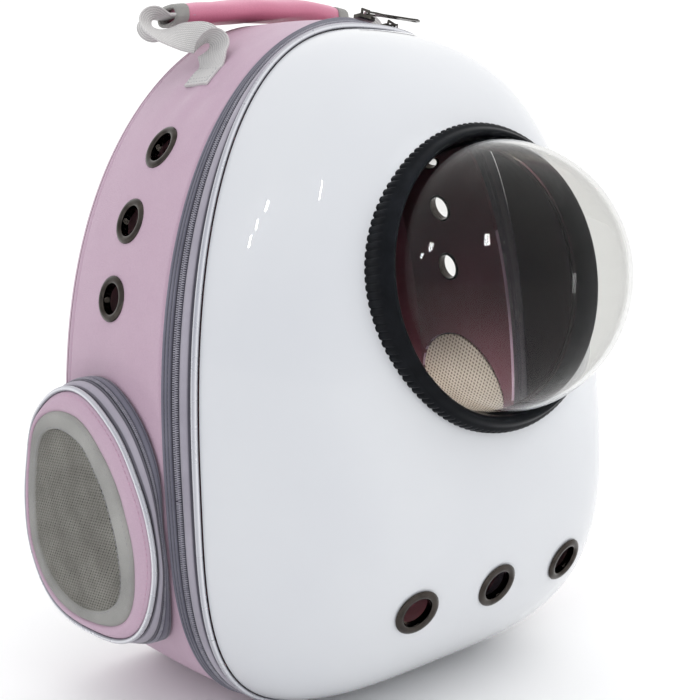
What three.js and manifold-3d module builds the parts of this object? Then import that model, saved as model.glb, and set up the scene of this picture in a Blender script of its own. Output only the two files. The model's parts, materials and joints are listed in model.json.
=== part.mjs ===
// Bubble pet carrier backpack: a hard white shell with a clear dome in front, a soft
// pink body band behind it, a zip between the two, and a bulging mesh pocket on each side.
// Millimetres. X to the right seen from the front, Y to the back, Z up; the dome looks to -Y.
// The origin is on the floor, under the middle of the overall box.
import * as THREE from 'three';
import { mergeVertices } from 'three/addons/utils/BufferGeometryUtils.js';
import Module from 'manifold-3d';

const wasm = await Module();
wasm.setup();

// ---------- driving dimensions ----------
const SHIFT_Y = -0.65;         // body frame (y = 0 at the shell's rim) to the origin
const GAP = 0.35;              // clearance between touching pieces
const DIV = 48;                // divisions round the body outline

// outlines of the body seen from the front: half width, height of the widest point,
// top, base, superellipse exponents above and below, and sideways taper
const SECTIONS = [
  { at: 'shell rim', y: 0.0,   lean: -0.017, half: 141.0, mid: 147.4, top: 418, base: 1.5,  ux: 2.565, uz: 2.476, lx: 3.99, lz: 3.53,  taper: 0.059 },
  { at: 'zip rear',  y: 24.0,  lean: -0.017, half: 150.3, mid: 143.8, top: 428, base: -2.5, ux: 1.81,  uz: 2.507, lx: 3.91, lz: 3.235, taper: -0.012 },
  { at: 'back edge', y: 153.7, lean: -0.058, half: 159.7, mid: 139.0, top: 441, base: -2.5, ux: 1.685, uz: 2.479, lx: 3.60, lz: 3.00,  taper: -0.008 },
];
const SHELL = { depth: 109.5, p: 5.28, q: 1.278, hub: 267.6, recede: 0.0008, from: 175, soft: 1600, wall: 2.6 };
const RING = { y: -103.2, z: 265.5, tilt: 6.6, outer: 88.2, hole: 83.2 };
const DOME = { radius: 78.6, rise: -1.3, wall: 2.2, flange: 82.6, flangeWall: 2.0 };
const EYELET = { flange: 14.6, hole: 9.4, neck: 11.0, proud: 1.8, cut: 11.4 };
const FRONT_EYELETS = [{ x: -62.4 }, { x: 0 }, { x: 62.4 }];
const FRONT_EYELET_Z = 82.5;
const SIDE_EYELETS = [{ y: 67.4, z: 352.0 }, { y: 74.9, z: 307.8 }, { y: 81.4, z: 260.7 }];

// strips round the zip, from the rim back: y range, and height above the outline
const PIPING = { y: 2.4, out: 1.3, r: 1.9 };
const TAPE_FRONT = { y0: 5.0, y1: 12.7, t: 1.6 };
const COIL = { y0: 13.1, y1: 17.5, t: 1.9 };
const TAPE_REAR = { y0: 17.9, y1: 23.7, t: 1.6 };
const ZIP_START = -68;         // degrees round the outline where the zip ends at the base

const BAND = { y0: 24.1, y1: 143.6, wall: 3.5 };
const BACK = { y0: 144.0, wall: 7.0, round: 9.6 };

// side pocket seen from the side: clock angle from the top towards the front,
// and the distance from its centre to the face's edge and to its foot on the body
const POD_MID = { y: 88, z: 128 };
const POD = [
  { clock: 0,   face: 80.0, foot: 84.5, binding: 62.4, mesh: 48.0 }, { clock: 30,  face: 69.0, foot: 78.5, binding: 48.3, mesh: 33.5 },
  { clock: 60,  face: 61.0, foot: 71.0, binding: 42.1, mesh: 28.0 }, { clock: 90,  face: 62.8, foot: 62.5, binding: 43.0, mesh: 28.6 },
  { clock: 120, face: 72.0, foot: 71.5, binding: 53.5, mesh: 37.5 }, { clock: 150, face: 82.0, foot: 87.0, binding: 69.5, mesh: 57.0 },
  { clock: 180, face: 76.0, foot: 83.0, binding: 68.0, mesh: 61.0 }, { clock: 210, face: 73.0, foot: 77.0, binding: 66.0, mesh: 59.0 },
  { clock: 240, face: 64.0, foot: 64.0, binding: 58.5, mesh: 52.0 }, { clock: 270, face: 57.5, foot: 54.5, binding: 52.0, mesh: 45.6 },
  { clock: 300, face: 59.5, foot: 61.0, binding: 54.5, mesh: 48.0 }, { clock: 330, face: 72.8, foot: 80.0, binding: 66.5, mesh: 57.5 },
];
const POD_PLANE = { x: 161.0, y: 25.0, slope: 0.211 };   // half width of the face's plane at y
const POD_DIV = 24;
const POD_HINGE = { from: 246, to: 296 };                // clock range of the cloth hinge
const POD_OPENING = 7.0;                                  // body opening inside the foot

// padded top handle: a grip lying to the back on webbing sewn to both sides of the band
const GRIP = { y: 118, wide: 28, thick: 14.5, binding: 9.5 };
const GRIP_LINE = [
  { x: -72, z: 441.5 }, { x: -46, z: 444.6 }, { x: -16, z: 448.2 }, { x: 14, z: 450.6 }, { x: 44, z: 451.2 }, { x: 74, z: 448.4 },
];
const WEB = { wide: 25, thick: 1.8, anchorY: 66, anchorLow: 389, anchorHigh: 401 };
const WEB_LINE = [                // from the grip's end to the anchor; side gives the width's direction
  { x: -68, y: 118, z: 441.4, sx: 0,    sy: 1,    sz: 0 },    { x: -80, y: 117, z: 440.6, sx: 0,    sy: 1,    sz: 0.05 },
  { x: -88, y: 112, z: 436.5, sx: 0.25, sy: 0.95, sz: 0.05 }, { x: -91, y: 104, z: 430.5, sx: 0.5,  sy: 0.8,  sz: 0.2 },
  { x: -86, y: 95,  z: 426.0, sx: 0.6,  sy: 0.6,  sz: 0.5 },  { x: -77, y: 86,  z: 423.5, sx: 0.45, sy: 0.4,  sz: 0.8 },
  { x: -70, y: 78,  z: 421.5, sx: 0.1,  sy: 0.55, sz: 0.8 },  { x: -67, y: 71,  z: 416.0, sx: -0.15, sy: 0.9, sz: 0.35 },
  { x: -70, y: 67,  z: 408.5, sx: -0.13, sy: 0.99, sz: 0 },
];
// zip sliders at the crown of the arch, each with a pull tab on a bridge
const SLIDER = { y: 15.3, long: 13.5, wide: 9.0, high: 3.4, lift: 1.75, crown: 6.8, crownHigh: 4.6, pivot: 2.3, bar: 1.2 };
const SLIDERS = [
  { name: 'left', x: 13.5, yaw: -30, dip: 10 }, { name: 'right', x: 34.0, yaw: 50, dip: 9 },
];
const PULL = { eye: 7.6, eyeWide: 9.0, bar: 1.0, thick: 1.1, long: 36, wide: 5.6, tip: 7.0 };
// shoulder straps: centre line down the back, distance from the back panel
const STRAP = { wide: 60, thick: 9, web: 25 };
const STRAP_LINE = [
  { x: 38, z: 404, off: 5.6 }, { x: 40, z: 388, off: 13 }, { x: 46, z: 352, off: 29 }, { x: 55, z: 306, off: 37 },
  { x: 66, z: 258, off: 38 }, { x: 78, z: 208, off: 33 }, { x: 89, z: 158, off: 25 }, { x: 96, z: 118, off: 18 },
];
const TAIL_LINE = [{ x: 98, z: 104, off: 15.5 }, { x: 101, z: 80, off: 10 }, { x: 104, z: 54, off: 4.5 }, { x: 105, z: 34, off: 1.6 }];
const ADJUSTER = { wide: 34, tall: 19, thick: 3.6, z: 109 };

const ARCH_DIV = 40;

// ---------- mesh helpers ----------
const V = (x, y, z) => new THREE.Vector3(x, y, z);
const lerp = (a, b, w) => a + (b - a) * w;
const rad = (d) => d * Math.PI / 180;

function solid(points, faces) {
  const key = new Map(), pos = [], map = [], index = [];
  for (const p of points) {
    const k = `${Math.round(p.x * 5e3)},${Math.round(p.y * 5e3)},${Math.round(p.z * 5e3)}`;
    if (!key.has(k)) { key.set(k, pos.length / 3); pos.push(p.x, p.y, p.z); }
    map.push(key.get(k));
  }
  for (const [a, b, c] of faces) {
    const i = map[a], j = map[b], k = map[c];
    if (i !== j && j !== k && k !== i) index.push(i, j, k);
  }
  let vol = 0;
  const at = (i) => V(pos[3 * i], pos[3 * i + 1], pos[3 * i + 2]);
  for (let i = 0; i < index.length; i += 3) vol += at(index[i]).dot(at(index[i + 1]).cross(at(index[i + 2])));
  if (vol < 0) for (let i = 0; i < index.length; i += 3) [index[i + 1], index[i + 2]] = [index[i + 2], index[i + 1]];
  const g = new THREE.BufferGeometry();
  g.setAttribute('position', new THREE.Float32BufferAttribute(pos, 3));
  g.setIndex(index);
  return g;
}

// a row of section polygons joined into one body; closed joins the last to the first
function loft(sections, closed) {
  const n = sections.length, m = sections[0].length, pts = sections.flat(), f = [];
  const last = closed ? n : n - 1;
  for (let i = 0; i < last; i++) for (let j = 0; j < m; j++) {
    const a = i * m + j, b = i * m + (j + 1) % m, c = ((i + 1) % n) * m + (j + 1) % m, d = ((i + 1) % n) * m + j;
    f.push([a, b, c], [a, c, d]);
  }
  if (!closed) {
    for (let j = 1; j < m - 1; j++) { f.push([0, j + 1, j]); f.push([(n - 1) * m, (n - 1) * m + j, (n - 1) * m + j + 1]); }
  }
  return solid(pts, f);
}

// a sheet between two rings of points that share a middle point each
function disc(top, bottom, topMid, bottomMid) {
  const n = top.length, pts = [...top, ...bottom, topMid, bottomMid], f = [];
  for (let i = 0; i < n; i++) {
    const j = (i + 1) % n;
    f.push([i, j, 2 * n], [n + j, n + i, 2 * n + 1], [i, n + i, n + j], [i, n + j, j]);
  }
  return solid(pts, f);
}

function toSolid(g) {
  let h = g.clone();
  h.deleteAttribute('normal'); h.deleteAttribute('uv');
  h = mergeVertices(h, 1e-4);
  const tri = [];
  for (let i = 0; i < h.index.count; i += 3) {
    const a = h.index.getX(i), b = h.index.getX(i + 1), c = h.index.getX(i + 2);
    if (a !== b && b !== c && c !== a) tri.push(a, b, c);
  }
  return new wasm.Manifold(new wasm.Mesh({
    numProp: 3, vertProperties: new Float32Array(h.attributes.position.array), triVerts: new Uint32Array(tri),
  }));
}
function toGeometry(m) {
  const r = m.getMesh(), g = new THREE.BufferGeometry();
  g.setAttribute('position', new THREE.Float32BufferAttribute(Array.from(r.vertProperties), 3));
  g.setIndex(Array.from(r.triVerts));
  return g;
}
const cut = (g, ...tools) => toGeometry(tools.reduce((m, t) => m.subtract(toSolid(t)), toSolid(g)));
const join = (a, b) => toGeometry(toSolid(a).add(toSolid(b)));

// a turned body: profile of radius and height, closed on itself, standing on point p along n
function turned(profile, p, n, div) {
  const pts = [...profile, profile[0]].map(([r, h]) => new THREE.Vector2(r, h));
  const g = new THREE.LatheGeometry(pts, div);
  const q = new THREE.Quaternion().setFromUnitVectors(V(0, 1, 0), n.clone().normalize());
  g.applyQuaternion(q); g.translate(p.x, p.y, p.z);
  const s = [], f = [], a = g.attributes.position;
  for (let i = 0; i < a.count; i++) s.push(V(a.getX(i), a.getY(i), a.getZ(i)));
  for (let i = 0; i < g.index.count; i += 3) f.push([g.index.getX(i), g.index.getX(i + 1), g.index.getX(i + 2)]);
  return solid(s, f);
}
function rod(p, n, r, h0, h1, div) {
  const g = new THREE.CylinderGeometry(r, r, h1 - h0, div);
  g.translate(0, (h0 + h1) / 2, 0);
  g.applyQuaternion(new THREE.Quaternion().setFromUnitVectors(V(0, 1, 0), n.clone().normalize()));
  g.translate(p.x, p.y, p.z);
  return g;
}
function mirrored(g) {
  const h = g.clone(), a = h.attributes.position, i = h.index;
  for (let k = 0; k < a.count; k++) a.setX(k, -a.getX(k));
  for (let k = 0; k < i.count; k += 3) { const t = i.getX(k + 1); i.setX(k + 1, i.getX(k + 2)); i.setX(k + 2, t); }
  return h;
}

// ---------- body outline ----------
function outline(s, deg) {
  const c = Math.cos(rad(deg)), w = Math.sin(rad(deg)), up = w >= 0;
  let x = s.half * Math.sign(c) * Math.pow(Math.abs(c), 2 / (up ? s.ux : s.lx));
  if (Math.abs(c) < 1e-9) x = 0;
  const z = up ? s.mid + (s.top - s.mid) * Math.pow(w, 2 / s.uz)
               : s.mid - (s.mid - s.base) * Math.pow(-w, 2 / s.lz);
  x *= 1 + s.taper * (s.mid - z) / s.top;
  return V(x, s.y + s.lean * z, Math.max(z, s.at === 'shell rim' ? 1.5 : 0));
}
function onBody(deg, y) {
  let k = 0;
  while (k < SECTIONS.length - 2 && y > SECTIONS[k + 1].y) k++;
  const a = SECTIONS[k], b = SECTIONS[k + 1];
  return outline(a, deg).lerp(outline(b, deg), (y - a.y) / (b.y - a.y));
}
function outward(deg, y) {
  const d = onBody(deg + 0.5, y).sub(onBody(deg - 0.5, y));
  return V(d.z, 0, -d.x).normalize();
}
const onStrip = (deg, y, out) => {
  const p = onBody(deg, y), n = outward(deg, y);
  return V(p.x + n.x * out, p.y, Math.max(p.z + n.z * out, 0));
};
function wallAt(y, z) {            // half width of the body at a side point
  let k = y > SECTIONS[1].y ? 1 : 0;
  const half = (s) => {
    const up = z >= s.mid, e = up ? (z - s.mid) / (s.top - s.mid) : (s.mid - z) / (s.mid - s.base);
    return s.half * Math.pow(Math.max(0, 1 - Math.pow(e, up ? s.uz : s.lz)), 1 / (up ? s.ux : s.lx))
      * (1 + s.taper * (s.mid - z) / s.top);
  };
  const a = SECTIONS[k], b = SECTIONS[k + 1], ya = a.y + a.lean * z, yb = b.y + b.lean * z;
  return lerp(half(a), half(b), (y - ya) / (yb - ya));
}

// ---------- pieces ----------
const group = new THREE.Group();
group.name = 'bubble_pet_carrier_backpack';
group.position.set(0, SHIFT_Y, 0);
const LOOK = {
  shell:   { color: 0xf0f1f4, roughness: 0.12, metalness: 0 },
  acrylic: { color: 0xe9eef0, roughness: 0.03, metalness: 0, transparent: true, opacity: 0.25 },
  rubber:  { color: 0x17191b, roughness: 0.55, metalness: 0 },
  gunmetal:{ color: 0x3b3835, roughness: 0.22, metalness: 1 },
  silver:  { color: 0xb9bcc2, roughness: 0.35, metalness: 0.3 },
  tape:    { color: 0xb4afb9, roughness: 0.8, metalness: 0 },
  tapeDark:{ color: 0x7e7a86, roughness: 0.85, metalness: 0 },
  coil:    { color: 0x8b8896, roughness: 0.5, metalness: 0 },
  pink:    { color: 0xd3b2c6, roughness: 0.5, metalness: 0 },
  grip:    { color: 0xe29ab2, roughness: 0.55, metalness: 0 },
  web:     { color: 0xc9c9c6, roughness: 0.85, metalness: 0 },
  mesh:    { color: 0x7d7f78, roughness: 0.9, metalness: 0 },
  inner:   { color: 0xb5aca0, roughness: 0.9, metalness: 0 },
  pad:     { color: 0x8d8a94, roughness: 0.9, metalness: 0 },
  plastic: { color: 0x2a2b2d, roughness: 0.5, metalness: 0 },
};
function add(name, geometry, look) {
  const m = new THREE.Mesh(geometry, new THREE.MeshStandardMaterial(LOOK[look]));
  m.name = name;
  group.add(m);
  return m;
}
const around = (div) => Array.from({ length: div }, (_, i) => -90 + 360 * i / div);
const arch = Array.from({ length: ARCH_DIV + 1 }, (_, i) => lerp(ZIP_START, 180 - ZIP_START, i / ARCH_DIV));

// -- front shell --
function shellPoint(deg, u) {      // u: 0 at the rim, 1 at the hub
  const e = outline(SECTIONS[0], deg), r = Math.pow(1 - Math.pow(u, SHELL.q), 1 / SHELL.p);
  const x = e.x * r, z = SHELL.hub + (e.z - SHELL.hub) * r;
  const s = z - SHELL.from, back = 1 - SHELL.recede * (s + Math.sqrt(s * s + SHELL.soft)) / 2;
  return V(x, SECTIONS[0].lean * z - SHELL.depth * u * back, z);
}
function shellNormal(deg, u) {
  if (u > 0.9999) return V(0, -1, 0);
  const a = shellPoint(deg + 0.4, u).sub(shellPoint(deg - 0.4, u));
  const b = shellPoint(deg, Math.min(u + 0.004, 1)).sub(shellPoint(deg, Math.max(u - 0.004, 0)));
  const n = a.cross(b).normalize(), p = shellPoint(deg, u);
  return n.dot(V(p.x, p.y - 40, p.z - 200)) < 0 ? n.negate() : n;
}
const DEPTHS = [0, 0.1, 0.22, 0.36, 0.5, 0.64, 0.76, 0.86, 0.94, 1];
const skin = (off, keepRim) => (deg) => DEPTHS.map((u) => {
  const p = shellPoint(deg, u), n = shellNormal(deg, u);
  if (u === 0 && keepRim) n.setY(0).normalize();
  return p.addScaledVector(n, off);
});
function shellBody(outer, inner) {
  const o = skin(outer, true), i = skin(inner, true);
  return loft(around(DIV).map((d) => [...o(d), ...i(d).reverse()]), true);
}
// everything behind the outer skin, grown by a clearance, used to seat what sits on the shell
function shellFill(grow) {
  const o = skin(grow, true);
  return loft(around(DIV).map((d) => [...o(d), V(0, 0, SHELL.hub)]), true);
}
function shellAt(x, z) {           // point and normal of the outer skin at x, z
  let best = null;
  const deg0 = THREE.MathUtils.radToDeg(Math.atan2(z - SHELL.hub, x));
  let lo = [deg0, 0.5], step = [40, 0.5];
  for (let it = 0; it < 60; it++) {
    let found = false;
    for (const [i, j] of [[1, 0], [-1, 0], [0, 1], [0, -1], [0, 0]]) {
      const d = lo[0] + i * step[0], u = Math.min(0.9995, Math.max(0, lo[1] + j * step[1]));
      const p = shellPoint(d, u), e = Math.hypot(p.x - x, p.z - z);
      if (!best || e < best.e - 1e-9) { best = { e, d, u }; found = true; }
    }
    if (found) lo = [best.d, best.u]; else step = [step[0] / 2, step[1] / 2];
  }
  return { p: shellPoint(best.d, best.u), n: shellNormal(best.d, best.u) };
}
const ringN = V(0, -Math.cos(rad(RING.tilt)), Math.sin(rad(RING.tilt)));
const ringP = V(0, RING.y, RING.z);
const seats = FRONT_EYELETS.map((e) => shellAt(e.x, FRONT_EYELET_Z));
add('front_shell', cut(shellBody(0, -SHELL.wall),
  rod(ringP, ringN, RING.hole, -60, 60, 48),
  ...seats.map((s) => rod(s.p, s.n, EYELET.cut, -30, 30, 16))), 'shell');

// -- clear dome with its flange, and the rubber ring that holds it --
{
  const R = DOME.radius, w = DOME.wall, h0 = DOME.rise, steps = 7, prof = [];
  for (let i = 0; i <= steps; i++) { const a = rad(90 * i / steps); prof.push([R * Math.cos(a), h0 + R * Math.sin(a)]); }
  prof[steps][0] = 0;
  for (let i = steps; i >= 0; i--) { const a = rad(90 * i / steps); prof.push([(R - w) * Math.cos(a), h0 + (R - w) * Math.sin(a)]); }
  prof[steps + 1][0] = 0;
  const base = h0 - 6.5;
  prof.push([R - w, base], [DOME.flange, base], [DOME.flange, base + DOME.flangeWall], [R, base + DOME.flangeWall]);
  add('bubble_dome', turned(prof, ringP, ringN, 32), 'acrylic');
  const r0 = R + GAP, foot = base + DOME.flangeWall + GAP, o = RING.outer;
  const ring = turned([[r0, foot], [r0, h0 - 1], [R - 0.2 + 0.3, 6.5], [R + 1.4, 9.6], [R + 3.6, 10.2], [R + 5.4, 7.6],
    [o - 1.8, 5.4], [o, 3.2], [o, -16], [RING.hole + 0.6, -16], [RING.hole + 0.6, foot]], ringP, ringN, 36);
  add('bubble_ring', cut(ring, shellFill(GAP)), 'rubber');
}

// -- metal eyelets --
function eyelet(p, n, wall) {
  const E = EYELET;
  return turned([[E.hole, -wall - 1.2], [E.hole, 0.9], [E.hole + 1.4, E.proud], [E.flange - 1.2, E.proud],
    [E.flange, GAP], [E.neck, GAP], [E.neck, -wall - 1.2]], p, n, 16);
}
['left', 'middle', 'right'].forEach((w, i) => add(`front_eyelet_${w}`, eyelet(seats[i].p, seats[i].n, SHELL.wall), 'gunmetal'));

// -- piping, tapes and coil round the rim --
add('shell_piping', loft(around(DIV).map((d) => Array.from({ length: 6 }, (_, k) =>
  onStrip(d, PIPING.y + PIPING.r * Math.sin(k * Math.PI / 3), PIPING.out + PIPING.r * Math.cos(k * Math.PI / 3)))), true), 'silver');
const strip = (s, angles, closed, o = 0.9) => loft(angles.map((d) => [
  onStrip(d, s.y0, o - s.t), onStrip(d, s.y1, o - s.t), onStrip(d, s.y1, o), onStrip(d, s.y0, o)]), closed);
add('zip_tape_front', strip(TAPE_FRONT, arch, false), 'tape');
add('zip_coil', strip(COIL, arch, false, 1.3), 'coil');
add('zip_tape_rear', strip(TAPE_REAR, arch, false), 'tapeDark');
{
  const under = Array.from({ length: 13 }, (_, i) => lerp(-180 - ZIP_START + 1.2, ZIP_START - 1.2, i / 12));
  add('hinge_strip', strip({ y0: TAPE_FRONT.y0, y1: TAPE_REAR.y1, t: 2.0 }, under, false, 0.9), 'pink');
}

// -- pink body band, hollow, with eyelet holes and a pocket opening on each side --
const BAND_Y = [BAND.y0, 84, BAND.y1];
const bandLoft = (out, inn) => loft(around(DIV).map((d) => [
  ...BAND_Y.map((y) => onStrip(d, y, out)),
  ...BAND_Y.slice().reverse().map((y) => { const p = onBody(d, y), n = outward(d, y); return V(p.x + n.x * inn, p.y, Math.max(p.z + n.z * inn, out > 0 ? 0 : BAND.wall)); })]), true);
const sideSeats = SIDE_EYELETS.map((e) => {
  const x = -wallAt(e.y, e.z), a = V(-wallAt(e.y + 2, e.z), e.y + 2, e.z), b = V(-wallAt(e.y - 2, e.z), e.y - 2, e.z);
  const c = V(-wallAt(e.y, e.z + 2), e.y, e.z + 2), d = V(-wallAt(e.y, e.z - 2), e.y, e.z - 2);
  const n = a.sub(b).cross(c.sub(d)).normalize();
  return { p: V(x, e.y, e.z), n: n.x > 0 ? n.negate() : n };
});
const podR = (deg, key) => {       // smooth closed curve through the table
  const n = POD.length, f = (((deg % 360) + 360) % 360) / (360 / n), i = Math.floor(f), w = f - i;
  const at = (k) => POD[(k + n) % n][key], a = at(i - 1), b = at(i), c = at(i + 1), d = at(i + 2);
  return 0.5 * (2 * b + (c - a) * w + (2 * a - 5 * b + 4 * c - d) * w * w + (3 * b - a - 3 * c + d) * w * w * w);
};
const podYZ = (deg, r) => ({ y: POD_MID.y - r * Math.sin(rad(deg)), z: POD_MID.z + r * Math.cos(rad(deg)) });
const facePoint = (deg, inset, lift = 0) => {
  const { y, z } = podYZ(deg, podR(deg, 'face') - inset);
  return V(-(POD_PLANE.x + POD_PLANE.slope * (y - POD_PLANE.y)) - lift, y, z);
};
const footPoint = (deg, inset, lift = 0) => {
  const { y, z } = podYZ(deg, podR(deg, 'foot') - inset);
  return V(-wallAt(y, z) - lift, y, z);
};
const clocks = Array.from({ length: POD_DIV }, (_, i) => 360 * i / POD_DIV);
{
  const opening = disc(clocks.map((d) => footPoint(d, POD_OPENING, 30)), clocks.map((d) => footPoint(d, POD_OPENING, -30)),
    V(-190, POD_MID.y, POD_MID.z), V(-120, POD_MID.y, POD_MID.z));
  const holes = sideSeats.map((s) => rod(s.p, s.n, EYELET.cut, -30, 30, 16));
  add('body_band', cut(bandLoft(0, -BAND.wall), opening, mirrored(opening), ...holes, ...holes.map(mirrored)), 'pink');
  ['top', 'middle', 'bottom'].forEach((w, i) => {
    const e = eyelet(sideSeats[i].p, sideSeats[i].n, BAND.wall);
    add(`side_eyelet_left_${w}`, e, 'gunmetal');
    add(`side_eyelet_right_${w}`, mirrored(e), 'gunmetal');
  });
}

// -- back panel with rounded edges --
{
  const R = BACK.round, steps = 3, y1 = SECTIONS[2].y;
  const rim = (deg) => {
    const q = [];
    for (let i = 0; i <= steps; i++) {
      const a = rad(90 * i / steps), inset = R * (1 - Math.cos(a)), p = onBody(deg, BACK.y0), n = outward(deg, BACK.y0);
      const dy = (y1 - BACK.y0) * Math.sin(a);
      q.push(V(p.x - n.x * inset, p.y + dy * (1 + 0), Math.max(p.z - n.z * inset, i ? R * (1 - Math.cos(a)) : 0)));
    }
    const s = q[steps], mid = V(0, SECTIONS[2].y + SECTIONS[2].lean * 200, 200);
    q.push(s.clone().lerp(mid, 0.5).setY(SECTIONS[2].y + SECTIONS[2].lean * lerp(s.z, 200, 0.5)));
    q.push(mid);
    q.push(V(0, mid.y - BACK.wall, 200));
    const f = onBody(deg, BACK.y0);
    q.push(V(f.x, f.y, f.z).lerp(V(0, BACK.y0 + SECTIONS[2].lean * 200, 200), 0.5).setY(BACK.y0 + SECTIONS[2].lean * lerp(f.z, 200, 0.5)));
    return q;
  };
  add('back_panel', loft(around(DIV).map(rim), true), 'pad');
}

// -- side pockets --
for (const side of ['left', 'right']) {
  const put = (name, g, look) => add(`pod_${side}_${name}`, side === 'left' ? g : mirrored(g), look);
  const wall = (d, w, inset = 0) => {      // w: 0 at the foot, 1 at the face
    const a = footPoint(d, inset, 1.4), b = facePoint(d, inset);
    const bulge = Math.sin(Math.PI * Math.min(1, Math.max(0, w))) * 1.6;
    const p = a.clone().lerp(b, w * (1 - 2.5 / a.distanceTo(b))), c = podYZ(d, 1);
    return p.add(V(0, (c.y - POD_MID.y) * bulge, (c.z - POD_MID.z) * bulge));
  };
  const span = (w0, w1, from, to, div, t = 1.6) => loft(Array.from({ length: div + 1 }, (_, i) => {
    const d = lerp(from, to, i / div);
    return [wall(d, w0, t), wall(d, w1, t), wall(d, w1), wall(d, w0)];
  }), false);
  const a0 = POD_HINGE.to - 360, a1 = POD_HINGE.from;
  put('tape', span(0, 0.36, a0, a1, 18), 'tapeDark');
  put('coil', span(0.40, 0.54, a0, a1, 18, 2.0), 'coil');
  put('gusset', span(0.60, 1, a0, a1, 18), 'tape');
  put('hinge', span(0, 1, a1 + 1, POD_HINGE.to - 1, 5), 'pink');
  put('piping', loft(clocks.map((d) => {
    const c = facePoint(d, 0.2), r = 1.7, o = podYZ(d, 1), ny = o.y - POD_MID.y, nz = o.z - POD_MID.z;
    return Array.from({ length: 6 }, (_, k) => { const t = rad(60 * k); return V(c.x - r * Math.sin(t), c.y + ny * r * Math.cos(t), c.z + nz * r * Math.cos(t)); });
  }), true), 'silver');
  const rim = (key, inset) => (d, lift) => { const r = podR(d, key) - inset, f = podR(d, 'face'); return facePoint(d, f - r, lift); };
  const plate = (p0, p1, low, high) => loft(clocks.map((d) => [p0(d, low), p1(d, low), p1(d, high), p0(d, high)]), true);
  put('frame', plate(rim('face', 2.4), rim('binding', 0), -0.8, 1.4), 'pink');
  put('binding', plate(rim('binding', 0.4), rim('mesh', 0), -0.8, 1.9), 'web');
  const pane = rim('mesh', 0.4), mid = facePoint(0, podR(0, 'face'));
  put('mesh', disc(clocks.map((d) => pane(d, 0.9)), clocks.map((d) => pane(d, -0.5)),
    mid.clone().setX(mid.x - 1.6), mid.clone().setX(mid.x - 0.2)), 'mesh');
  put('inner_mesh', disc(clocks.map((d) => footPoint(d, POD_OPENING + 1.2, -0.6)), clocks.map((d) => footPoint(d, POD_OPENING + 1.2, -2.2)),
    V(-wallAt(POD_MID.y, POD_MID.z) + 0.6, POD_MID.y, POD_MID.z), V(-wallAt(POD_MID.y, POD_MID.z) + 2.2, POD_MID.y, POD_MID.z)), 'inner');
}

// -- handle --
const alongCurve = (rows, pick, n) => {       // smooth points through table rows
  const c = new THREE.CatmullRomCurve3(rows.map(pick), false, 'centripetal');
  return c.getPoints(n);
};
function ribbon(points, sides, wide, thick) { // flat strap with its width along the given sides
  return loft(points.map((p, i) => {
    const t = points[Math.min(i + 1, points.length - 1)].clone().sub(points[Math.max(i - 1, 0)]).normalize();
    const w = sides[i].clone().addScaledVector(t, -sides[i].dot(t)).normalize(), n = t.clone().cross(w);
    return [[-1, -1], [1, -1], [1, 1], [-1, 1]].map(([a, b]) => p.clone().addScaledVector(w, a * wide / 2).addScaledVector(n, b * thick / 2));
  }), false);
}
{
  const line = alongCurve(GRIP_LINE, (r) => V(r.x, GRIP.y, r.z), 16);
  const tube = (pts, wide, thick) => loft(pts.map((p) => Array.from({ length: 10 }, (_, k) => {
    const a = rad(36 * k), c = Math.cos(a), w = Math.sin(a);
    return V(p.x, p.y + wide / 2 * Math.sign(c) * Math.pow(Math.abs(c), 0.7), p.z + thick / 2 * Math.sign(w) * Math.pow(Math.abs(w), 0.7));
  })), false);
  const inner = (x) => { const k = line.findIndex((p) => p.x >= x), a = line[Math.max(k - 1, 0)], b = line[Math.max(k, 1)]; return a.clone().lerp(b, (x - a.x) / (b.x - a.x)); };
  const x0 = GRIP_LINE[0].x, x1 = GRIP_LINE[GRIP_LINE.length - 1].x, w = GRIP.binding;
  add('handle_grip', tube([x0 + w + GAP, -50, -38, -26, -13, 0, 13, 26, 38, 50, x1 - w - GAP].map(inner), GRIP.wide, GRIP.thick), 'grip');
  add('handle_binding_left', tube([x0, x0 + 3, x0 + w].map(inner), GRIP.wide - 1, GRIP.thick - 0.5), 'web');
  add('handle_binding_right', tube([x1 - w, x1 - 3, x1].map(inner), GRIP.wide - 1, GRIP.thick - 0.5), 'web');
  const sides = alongCurve(WEB_LINE, (r) => V(r.sx, r.sy, r.sz), 22), pts = alongCurve(WEB_LINE, (r) => V(r.x, r.y, r.z), 22);
  const patch = Array.from({ length: 4 }, (_, i) => {
    const z = lerp(WEB.anchorHigh, WEB.anchorLow, i / 3), y = WEB.anchorY, x = -wallAt(y, z);
    const up = V(-wallAt(y, z + 2), y, z + 2).sub(V(-wallAt(y, z - 2), y, z - 2)).normalize(), out = V(-up.z, 0, up.x);
    return V(x, y, z).addScaledVector(out, WEB.thick / 2 + 1.0);
  });
  const from = pts.findIndex((p) => p.x < x0 - 1.2);
  const path = [V(x0 - GAP, pts[from].y, 441.2), ...pts.slice(from), ...patch];
  const turn = [V(0, 1, 0), ...sides.slice(from), ...patch.map(() => V(-(wallAt(WEB.anchorY + 10, 395) - wallAt(WEB.anchorY - 10, 395)) / 20, 1, 0))];
  const g = ribbon(path, turn, WEB.wide, WEB.thick);
  add('handle_webbing_left', g, 'web');
  const h = mirrored(g), q = h.attributes.position;         // the right end of the grip lies a little higher
  for (let i = 0; i < q.count; i++) {
    const k = THREE.MathUtils.smoothstep(q.getZ(i), 404, 432);
    q.setZ(i, q.getZ(i) + 7.0 * k); q.setX(i, q.getX(i) + 2.0 * k);
  }
  add('handle_webbing_right', h, 'web');
}

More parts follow.
